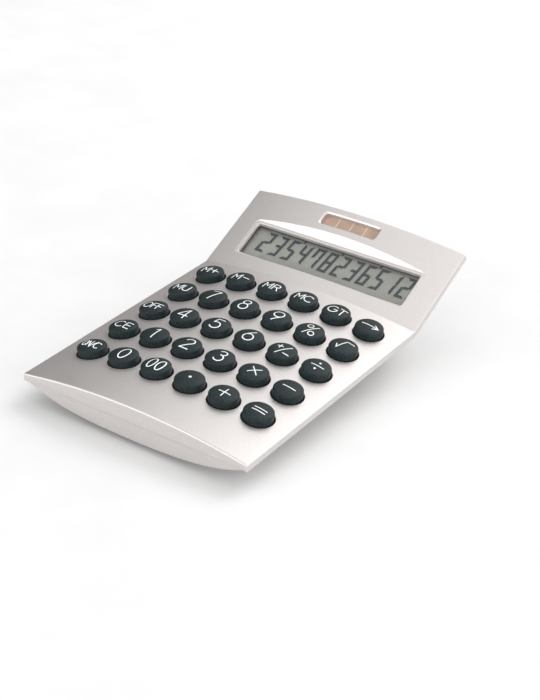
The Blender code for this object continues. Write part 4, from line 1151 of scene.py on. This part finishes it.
# ---------------------------------------------------------------- display
DIGITS = "235478236512"
DIGIT_SEGMENTS = {
    "1": "bc", "2": "abged", "3": "abgcd", "4": "fgbc", "5": "afgcd", "6": "afgedc",
    "7": "fabc", "8": "abcdefg",
}
DIGIT_PITCH = 6.10
DIGIT_LEFT = -34.9
DIGIT_BASE = 12.85
DIGIT_WIDTH = 4.3
DIGIT_HEIGHT = 10.8
DIGIT_STROKE = 1.3
DIGIT_SLANT = math.tan(math.radians(7.5))
REFLECTOR_TOP = PANEL_TOP - 0.2
TICK = ((0.0, 0.0), (0.55, 0.0), (0.75, 1.5), (0.0, 1.5))
TICK_EVERY = 3
TICK_PLACE = (DIGIT_WIDTH + 0.35, DIGIT_HEIGHT - 0.3)
POINT_RADIUS = 0.5


def segment_outlines():
    """Outlines of the seven segments in a digit's own upright box."""
    w, h, t = DIGIT_WIDTH, DIGIT_HEIGHT, DIGIT_STROKE
    m = h / 2.0
    top = [(0.0, h), (w, h), (w - t, h - t), (t, h - t)]
    upper_left = [(0.0, h), (0.0, m), (t / 2.0, m), (t, m + t / 2.0), (t, h - t)]
    middle = [(t / 2.0, m), (t, m + t / 2.0), (w - t, m + t / 2.0),
              (w - t / 2.0, m), (w - t, m - t / 2.0), (t, m - t / 2.0)]
    return {
        "a": top,
        "d": [(x, h - y) for x, y in top],
        "f": upper_left,
        "e": [(x, h - y) for x, y in upper_left],
        "b": [(w - x, y) for x, y in upper_left],
        "c": [(w - x, h - y) for x, y in upper_left],
        "g": middle,
    }


def slanted(points, left):
    return [(left + x + y * DIGIT_SLANT, DIGIT_BASE + y) for x, y in points]


def turned_up(points):
    """The same outline, anticlockwise seen from above."""
    area = 0.0
    for (x1, y1), (x2, y2) in zip(points, points[1:] + points[:1]):
        area += x1 * y2 - x2 * y1
    return points if area > 0.0 else list(reversed(points))


def lcd_digits():
    shape = Shape()
    outlines = segment_outlines()
    for i, digit in enumerate(DIGITS):
        left = DIGIT_LEFT + i * DIGIT_PITCH
        for segment in DIGIT_SEGMENTS[digit]:
            ring = turned_up(slanted(outlines[segment], left))
            shape.fan(DISPLAY, flat_ring(ring, PANEL_TOP))
        if (i + 1) % TICK_EVERY == 0 and i + 1 < len(DIGITS):
            points = [(TICK_PLACE[0] + x, TICK_PLACE[1] + y) for x, y in TICK]
            shape.fan(DISPLAY, flat_ring(slanted(points, left), PANEL_TOP))
    point = circle(DIGIT_LEFT + len(DIGITS) * DIGIT_PITCH - POINT_RADIUS,
                   DIGIT_BASE + POINT_RADIUS, POINT_RADIUS, 16)
    shape.fan(DISPLAY, flat_ring(point, PANEL_TOP))
    shape.build("lcd_digits", [DIGIT], "case", None)


def display():
    half_width = WINDOW_HALF_WIDTH + LENS_BORDER
    front = WINDOW_FRONT - LENS_BORDER
    back = WINDOW_BACK + LENS_BORDER
    shape = Shape()
    slab(shape, DISPLAY, rectangle_loop(half_width, front, back, 0.8), LENS_TOP,
         LENS_TOP - LENS_THICK, 0.1)
    edge = sight_loop()
    sight = inset(edge, WINDOW_SHADE_LINE)
    height = LENS_TOP + 0.01
    # dark strip on the window's top face round the clear part: painted shade standing in for the shadow
    # gap between the frame and the display
    shape.strip(DISPLAY, [flat_ring(sight, height), flat_ring(edge, height)], closed=True, mark=1)
    shape.build("display_window", [WINDOW, DARK], "case", "display_lens")
    shape = Shape()
    loop = rectangle_loop(half_width - GAP, front + GAP, back - GAP, 0.5)
    slab(shape, DISPLAY, loop, REFLECTOR_TOP, PANEL_TOP - PANEL_THICK, 0.1)
    shape.build("lcd_glass", [REFLECTOR], "case", "lcd_panel")
    lcd_digits()


def solar_cell():
    half_width = SOLAR_HALF_WIDTH + SOLAR_BORDER
    front = SOLAR_FRONT - SOLAR_BORDER
    back = SOLAR_BACK + SOLAR_BORDER
    top = crown(half_width) - DECK_WALL - GAP
    shape = Shape()
    slab(shape, DISPLAY, rectangle_loop(half_width, front, back, 0.4), top, top - SOLAR_THICK, 0.1)
    for i in range(1, SOLAR_CELLS):
        x = SOLAR_HALF_WIDTH * (2.0 * i / SOLAR_CELLS - 1.0)
        left, right = x - CELL_LINE, x + CELL_LINE
        low, high = front + CELL_LINE_INSET, back - CELL_LINE_INSET
        ring = [(left, low), (right, low), (right, high), (left, high)]
        shape.fan(DISPLAY, flat_ring(ring, top + 0.01), mark=1)
    shape.build("solar_panel", [SOLAR, SILVER_LINE], "case", "solar_cell")


# ---------------------------------------------------------------- bottom cover
HULL_COLUMNS = 40
HULL_XS = [HULL_HALF_WIDTH * math.sin(math.pi / 2.0 * (2.0 * i / HULL_COLUMNS - 1.0))
           for i in range(HULL_COLUMNS + 1)]
HULL_FRONT = -FRONT_LENGTH + END_WALL + GAP
HULL_BACK = DISPLAY_LENGTH - END_WALL - GAP
HULL_STRETCH = 45.5
HULL_REAR_STRETCH = 6.0
HULL_WALL = 1.6
DOOR_INSIDE = GROUND_GAP + DOOR_THICK
DOOR_CEILING = DOOR_INSIDE + GAP


def hull_point(x, y):
    """Point of the belly under the key deck; rows near the fold stretch to its mitre."""
    if y <= HULL_STRETCH:
        return (x, y, hull_height(x, deck_keel(y), deck_fullness(y)))
    t = (y - HULL_STRETCH) / (REAR_LENGTH - HULL_STRETCH)
    fold = hull_height(x, display_keel(0.0), 1.0)
    end = REAR_LENGTH - fold * MITRE
    y = HULL_STRETCH + t * (end - HULL_STRETCH)
    z = hull_height(x, deck_keel(y), 1.0)
    return (x, y, z + (fold - z) * smoothstep(t))


def hull_rear_point(x, y):
    """Point of the belly under the display, in the display frame."""
    if y >= HULL_REAR_STRETCH:
        return (x, y, hull_height(x, display_keel(y), display_fullness(y)))
    t = y / HULL_REAR_STRETCH
    fold = hull_height(x, display_keel(0.0), 1.0)
    start = fold * MITRE
    y = start + t * (HULL_REAR_STRETCH - start)
    z = hull_height(x, display_keel(y), 1.0)
    return (x, y, fold + (z - fold) * smoothstep(t))


def deck_under(x, y):
    """Point of the deck's plan that lies under a point of the floor's plan, on the belly."""
    origin = deck_origin()
    along = y - origin.y
    for _ in range(4):
        z = hull_height(x, deck_keel(along), deck_fullness(along))
        along = (y - origin.y + z * math.sin(DECK_TILT)) / math.cos(DECK_TILT)
    return (x, along)


def from_floor(loop, height):
    """Ring at a height over the floor, in the deck frame."""
    inverse = DECK.inverted()
    return [inverse @ point for point in flat_ring(loop, height)]


def foot_spots():
    spots = []
    for end, y in (("front", FOOT_FRONT), ("rear", FOOT_BACK)):
        for side, x in (("left", -FOOT_X), ("right", FOOT_X)):
            spot = DECK @ Vector(hull_point(x, y))
            spots.append(("foot_" + end + "_" + side, spot.x, spot.y))
    return spots


def foot_pad(shape, x, y):
    """Round pad with a shallow recess that a rubber foot sits in; returns its loop."""
    flare = FOOT_PAD_RADIUS + FOOT_PAD_FLARE
    loop = [deck_under(*point) for point in circle(x, y, flare, 48)]
    rings = [[Vector(hull_point(*point)) for point in loop]]
    profile = rounded_profile([
        (flare, FOOT_PAD_HEIGHT + FOOT_PAD_RISE, 0.0),
        (FOOT_PAD_RADIUS, FOOT_PAD_HEIGHT, 0.3),
        (FOOT_RADIUS + GAP, FOOT_PAD_HEIGHT, 0.12),
        (FOOT_RADIUS + GAP, FOOT_PAD_HEIGHT + FOOT_RECESS, 0.0),
    ], 4)
    for radius, height in profile[1:]:
        rings.append(from_floor(circle(x, y, radius, 48), height))
    shape.strip(DECK, rings, closed=True)
    shape.fan(DECK, rings[-1], flip=True)
    return loop


def screw_well(shape, matrix, place, x, y, depth, fullness):
    """Counterbore of a case screw; returns its loop on the belly."""
    seat = hull_height(x, depth, fullness) + WELL_RECESS
    loop = circle(x, y, WELL_RADIUS + WELL_ROUND, 32)
    rings = [[Vector(place(*point)) for point in loop]]
    wall = circle(x, y, WELL_RADIUS, 32)
    rings.append([Vector((px, py, place(px, py)[2] + 0.25)) for px, py in wall])
    rings.append(flat_ring(wall, seat))
    hole = circle(x, y, WELL_HOLE_RADIUS, 32)
    mouth = flat_ring(hole, seat)
    shape.strip(matrix, rings, closed=True)
    shape.strip(matrix, [rings[-1], mouth], closed=True, smooth=False)
    shape.strip(matrix, [mouth, flat_ring(hole, seat + WELL_HOLE_DEPTH)], closed=True)
    return loop


def door_bay(shape):
    """Opening for the battery door and the bay behind it; returns its loop on the belly."""
    centre = DECK @ Vector(hull_point(0.0, CELL_Y))
    reach = DOOR_HALF + GAP
    opening = rounded_loop(-reach, reach, centre.y - reach, centre.y + reach, 0.5, 16, 16, 4)
    wide = rounded_loop(-reach - DOOR_ROUND, reach + DOOR_ROUND, centre.y - reach - DOOR_ROUND,
                        centre.y + reach + DOOR_ROUND, 0.6, 16, 16, 4)
    bay = rounded_loop(-BAY_HALF_WIDTH, BAY_HALF_WIDTH, centre.y - BAY_HALF_LENGTH,
                       centre.y + BAY_HALF_LENGTH, 0.5, 16, 16, 4)
    loop = [deck_under(*point) for point in wide]
    edge = from_floor(opening, GROUND_GAP + 0.2)
    wall = from_floor(opening, DOOR_CEILING)
    mouth = from_floor(bay, DOOR_CEILING)
    ceiling = from_floor(bay, BAY_CEILING)
    shape.strip(DECK, [[Vector(hull_point(*point)) for point in loop], edge], closed=True)
    for rows in ([edge, wall], [wall, mouth], [mouth, ceiling]):
        shape.strip(DECK, rows, closed=True, smooth=False)
    shape.fan(DECK, ceiling, flip=True)
    return loop, centre


def hull_edge(shape, matrix, points):
    """Edge of the belly's wall, seen in the seam between the covers."""
    rise = [Vector(point) + Vector((0.0, 0.0, HULL_WALL)) for point in points]
    shape.strip(matrix, [[Vector(point) for point in points], rise], smooth=False)


def belly(shape, matrix, place, front, back, free_end, holes):
    """One part of the belly round its holes, with the edges that the seam shows."""
    ys = spread(front, back, GRID_STEP)
    outline = region(HULL_XS, front, back, HULL_HALF_WIDTH)
    points, faces = fill(outline, holes, HULL_XS, ys, 0.5)
    shape.add(matrix, [place(x, y) for x, y in points], flipped(faces))
    hull_edge(shape, matrix, [place(x, free_end) for x in HULL_XS])
    for side in (-1.0, 1.0):
        hull_edge(shape, matrix, [place(side * HULL_HALF_WIDTH, y) for y in ys])


def bottom_cover():
    shape = Shape()
    holes = [foot_pad(shape, x, y) for _, x, y in foot_spots()]
    y = CASE_SCREW_FRONT
    for x in (-CASE_SCREW_X, CASE_SCREW_X):
        holes.append(screw_well(shape, DECK, hull_point, x, y, deck_keel(y), deck_fullness(y)))
    loop, centre = door_bay(shape)
    belly(shape, DECK, hull_point, HULL_FRONT, REAR_LENGTH, HULL_FRONT, holes + [loop])

    holes = []
    y = CASE_SCREW_BACK
    for x in (-CASE_SCREW_X, CASE_SCREW_X):
        holes.append(screw_well(shape, DISPLAY, hull_rear_point, x, y, display_keel(y),
                                display_fullness(y)))
    belly(shape, DISPLAY, hull_rear_point, 0.0, HULL_BACK, HULL_BACK, holes)
    shape.build("bottom_shell", [PAINT], "case", "bottom_cover")
    return centre


def feet():
    height = FOOT_PAD_HEIGHT + FOOT_RECESS - GAP
    for name, x, y in foot_spots():
        shape = Shape()
        profile = rounded_profile([
            (0.0, height, 0.0), (FOOT_RADIUS, height, 0.1), (FOOT_RADIUS, 0.0, 0.35),
            (FOOT_RADIUS - 1.0, 0.0, 0.0), (0.0, 0.0, 0.0),
        ])
        revolve(shape, Matrix.Translation((x, y, 0.0)), profile, 48)
        foot = shape.build(name + "_rubber", [RUBBER], "case", name)
        foot.data.set_sharp_from_angle(angle=math.radians(40.0))


def battery_door(centre):
    """Flat door with a finger recess and two hinge pins."""
    place = Matrix.Translation((0.0, centre.y, 0.0))
    shape = Shape()
    recess = rounded_loop(-FINGER_HALF_WIDTH, FINGER_HALF_WIDTH, FINGER_FRONT, FINGER_BACK,
                          0.9, 6, 3, 5)
    slab(shape, place, rectangle_loop(DOOR_HALF, -DOOR_HALF, DOOR_HALF, 0.5), DOOR_INSIDE,
         GROUND_GAP, 0.3, holes=[recess])
    bottom = inset(recess, 0.35)
    rows = [flat_ring(recess, GROUND_GAP), flat_ring(bottom, GROUND_GAP + FINGER_DEPTH)]
    shape.strip(place, rows, closed=True, smooth=False)
    shape.fan(place, rows[-1], flip=True)
    pins = place @ Matrix.Translation((0.0, DOOR_HALF - PIN_INSET, GROUND_GAP + PIN_INSET))
    across = Matrix.Rotation(math.pi / 2.0, 4, "Y")
    reach = DOOR_HALF + PIN_REACH
    tip = PIN_RADIUS - PIN_CHAMFER
    revolve(shape, pins @ across, [
        (0.0, reach), (tip, reach), (PIN_RADIUS, reach - PIN_CHAMFER),
        (PIN_RADIUS, PIN_CHAMFER - reach), (tip, -reach), (0.0, -reach),
    ], 24)
    door = shape.build("battery_door_panel", [PAINT], "battery_door", "battery_door")
    door.data.set_sharp_from_angle(angle=math.radians(40.0))


def cross_loop(arm, half_width):
    return [
        (half_width, half_width), (half_width, arm), (-half_width, arm), (-half_width, half_width),
        (-arm, half_width), (-arm, -half_width), (-half_width, -half_width), (-half_width, -arm),
        (half_width, -arm), (half_width, -half_width), (arm, -half_width), (arm, half_width),
    ]


def case_screw(name, matrix):
    """Pan-head screw with a cross recess, head down."""
    shape = Shape()
    top = -SCREW_HEAD_HEIGHT
    profile = rounded_profile([
        (0.0, SCREW_LENGTH, 0.0), (SCREW_RADIUS, SCREW_LENGTH, 0.2), (SCREW_RADIUS, 0.0, 0.0),
        (SCREW_HEAD_RADIUS, 0.0, 0.1), (SCREW_HEAD_RADIUS, -0.9, 0.5),
        (SCREW_FLAT_RADIUS, top, 0.0),
    ])
    revolve(shape, matrix, profile, 48)
    cross = list(reversed(cross_loop(CROSS_ARM, CROSS_HALF_WIDTH)))
    points, faces = fill(circle(0.0, 0.0, SCREW_FLAT_RADIUS, 48), [cross], [], [])
    shape.add(matrix, [(x, y, top) for x, y in points], flipped(faces), False)
    deep = flat_ring([(CROSS_TAPER * x, CROSS_TAPER * y) for x, y in cross], CROSS_FLOOR)
    shape.strip(matrix, [deep, flat_ring(cross, top)], closed=True, smooth=False)
    shape.fan(matrix, deep)
    screw = shape.build(name + "_steel", [STEEL], "case", name)
    screw.data.set_sharp_from_angle(angle=math.radians(35.0))


def case_screws():
    for side, word in ((-1.0, "left"), (1.0, "right")):
        x, y = side * CASE_SCREW_X, CASE_SCREW_FRONT
        seat = hull_height(x, deck_keel(y), deck_fullness(y)) + WELL_RECESS
        case_screw("case_screw_front_" + word, DECK @ Matrix.Translation((x, y, seat - GAP)))
        y = CASE_SCREW_BACK
        seat = hull_height(x, display_keel(y), display_fullness(y)) + WELL_RECESS
        case_screw("case_screw_rear_" + word, DISPLAY @ Matrix.Translation((x, y, seat - GAP)))


# ---------------------------------------------------------------- inner pieces

def finish_inner_pieces():
    """Materials of the CAD pieces that stay as they are."""
    finishes = {
        "main_board": BOARD, "controller_chip": RESIN, "keypad_membrane": SILICONE,
        "lcd_ribbon": AMBER, "lcd_retainer": DARK, "solar_wire_positive": RED,
        "solar_wire_negative": BLACK, "battery_cell": CELL, "battery_contact_positive": NICKEL,
        "battery_contact_negative": NICKEL, "retainer_screw_left": STEEL,
        "retainer_screw_right": STEEL,
    }
    for end in ("front", "rear"):
        for side in ("left", "right"):
            finishes["board_screw_" + end + "_" + side] = STEEL
    for name, material in finishes.items():
        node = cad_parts[name]
        node.data.materials.clear()
        node.data.materials.append(material)


# ---------------------------------------------------------------- camera, floor and light
CAMERA_PLACE = Vector((299.6, -428.7, 302.1))      # in the deck frame
CAMERA_AZIMUTH = math.radians(33.39)
CAMERA_ELEVATION = math.radians(30.46)
CAMERA_ROLL = math.radians(1.77)
CAMERA_LENS = 82.31
CAMERA_SENSOR = 36.0
CAMERA_CLIP = (0.01, 20.0)                        # metres
FLOOR_HALF = 4.0                                  # metres


def camera():
    data = bpy.data.cameras.new("camera")
    data.lens = CAMERA_LENS
    data.sensor_width = CAMERA_SENSOR
    data.clip_start, data.clip_end = CAMERA_CLIP
    azimuth, elevation, roll = CAMERA_AZIMUTH, CAMERA_ELEVATION, CAMERA_ROLL
    back = Vector((math.sin(azimuth) * math.cos(elevation),
                   -math.cos(azimuth) * math.cos(elevation), math.sin(elevation)))
    right = Vector((math.cos(azimuth), math.sin(azimuth), 0.0))
    up = back.cross(right)
    turned_right = right * math.cos(roll) + up * math.sin(roll)
    turned_up_axis = up * math.cos(roll) - right * math.sin(roll)
    turn = Matrix((turned_right, turned_up_axis, back)).transposed().to_4x4()
    place = DECK @ Matrix.Translation(CAMERA_PLACE) @ turn
    obj = add_object("camera", data)
    obj.matrix_world = Matrix.Translation(place.translation * MM) @ place.to_3x3().to_4x4()
    bpy.context.scene.camera = obj


def floor():
    made = speckled("pale_floor", srgb(221, 221, 221), srgb(225, 225, 225), 40.0, 0.6, 0.75)
    half = FLOOR_HALF
    mesh = bpy.data.meshes.new("floor")
    mesh.from_pydata([(-half, -half, 0.0), (half, -half, 0.0), (half, half, 0.0),
                      (-half, half, 0.0)], [], [(0, 1, 2, 3)])
    mesh.materials.append(made)
    obj = add_object("floor", mesh)


def softbox(name, place, size, power):
    """Rectangular light aimed at the middle of the floor."""
    data = bpy.data.lights.new(name, "AREA")
    data.shape = "RECTANGLE"
    data.size, data.size_y = size
    data.energy = power
    obj = add_object(name, data)
    obj.location = place
    obj.rotation_mode = "QUATERNION"
    obj.rotation_quaternion = (-Vector(place)).to_track_quat("-Z", "Y")


def studio_world():
    """Soft surround: white, falling to near black on the left and a little behind."""
    world = bpy.data.worlds.new("studio")
    bpy.context.scene.world = world
    world.use_nodes = True
    nodes, links = world.node_tree.nodes, world.node_tree.links
    background = nodes["Background"]
    place = nodes.new("ShaderNodeTexCoord")
    dot = nodes.new("ShaderNodeVectorMath")
    dot.operation = "DOT_PRODUCT"
    dot.inputs[1].default_value = Vector(DARK_SIDE).normalized()
    links.new(place.outputs["Generated"], dot.inputs[0])
    dark = (DARK_LEVEL, DARK_LEVEL, DARK_LEVEL, 1.0)
    ramp = eased_ramp(nodes, (BRIGHT_UP_TO, (1.0, 1.0, 1.0, 1.0)), (DARK_FROM, dark))
    links.new(dot.outputs["Value"], ramp.inputs["Fac"])
    links.new(ramp.outputs["Color"], background.inputs["Color"])
    background.inputs["Strength"].default_value = WORLD_STRENGTH


def lights():
    studio_world()
    bpy.context.scene.view_settings.view_transform = "Standard"
    for name, place, size, power in SOFTBOXES:
        softbox(name, place, size, power)


top_cover()
keys()
display()
solar_cell()
door_centre = bottom_cover()
feet()
battery_door(door_centre)
case_screws()
finish_inner_pieces()
camera()
floor()
lights()
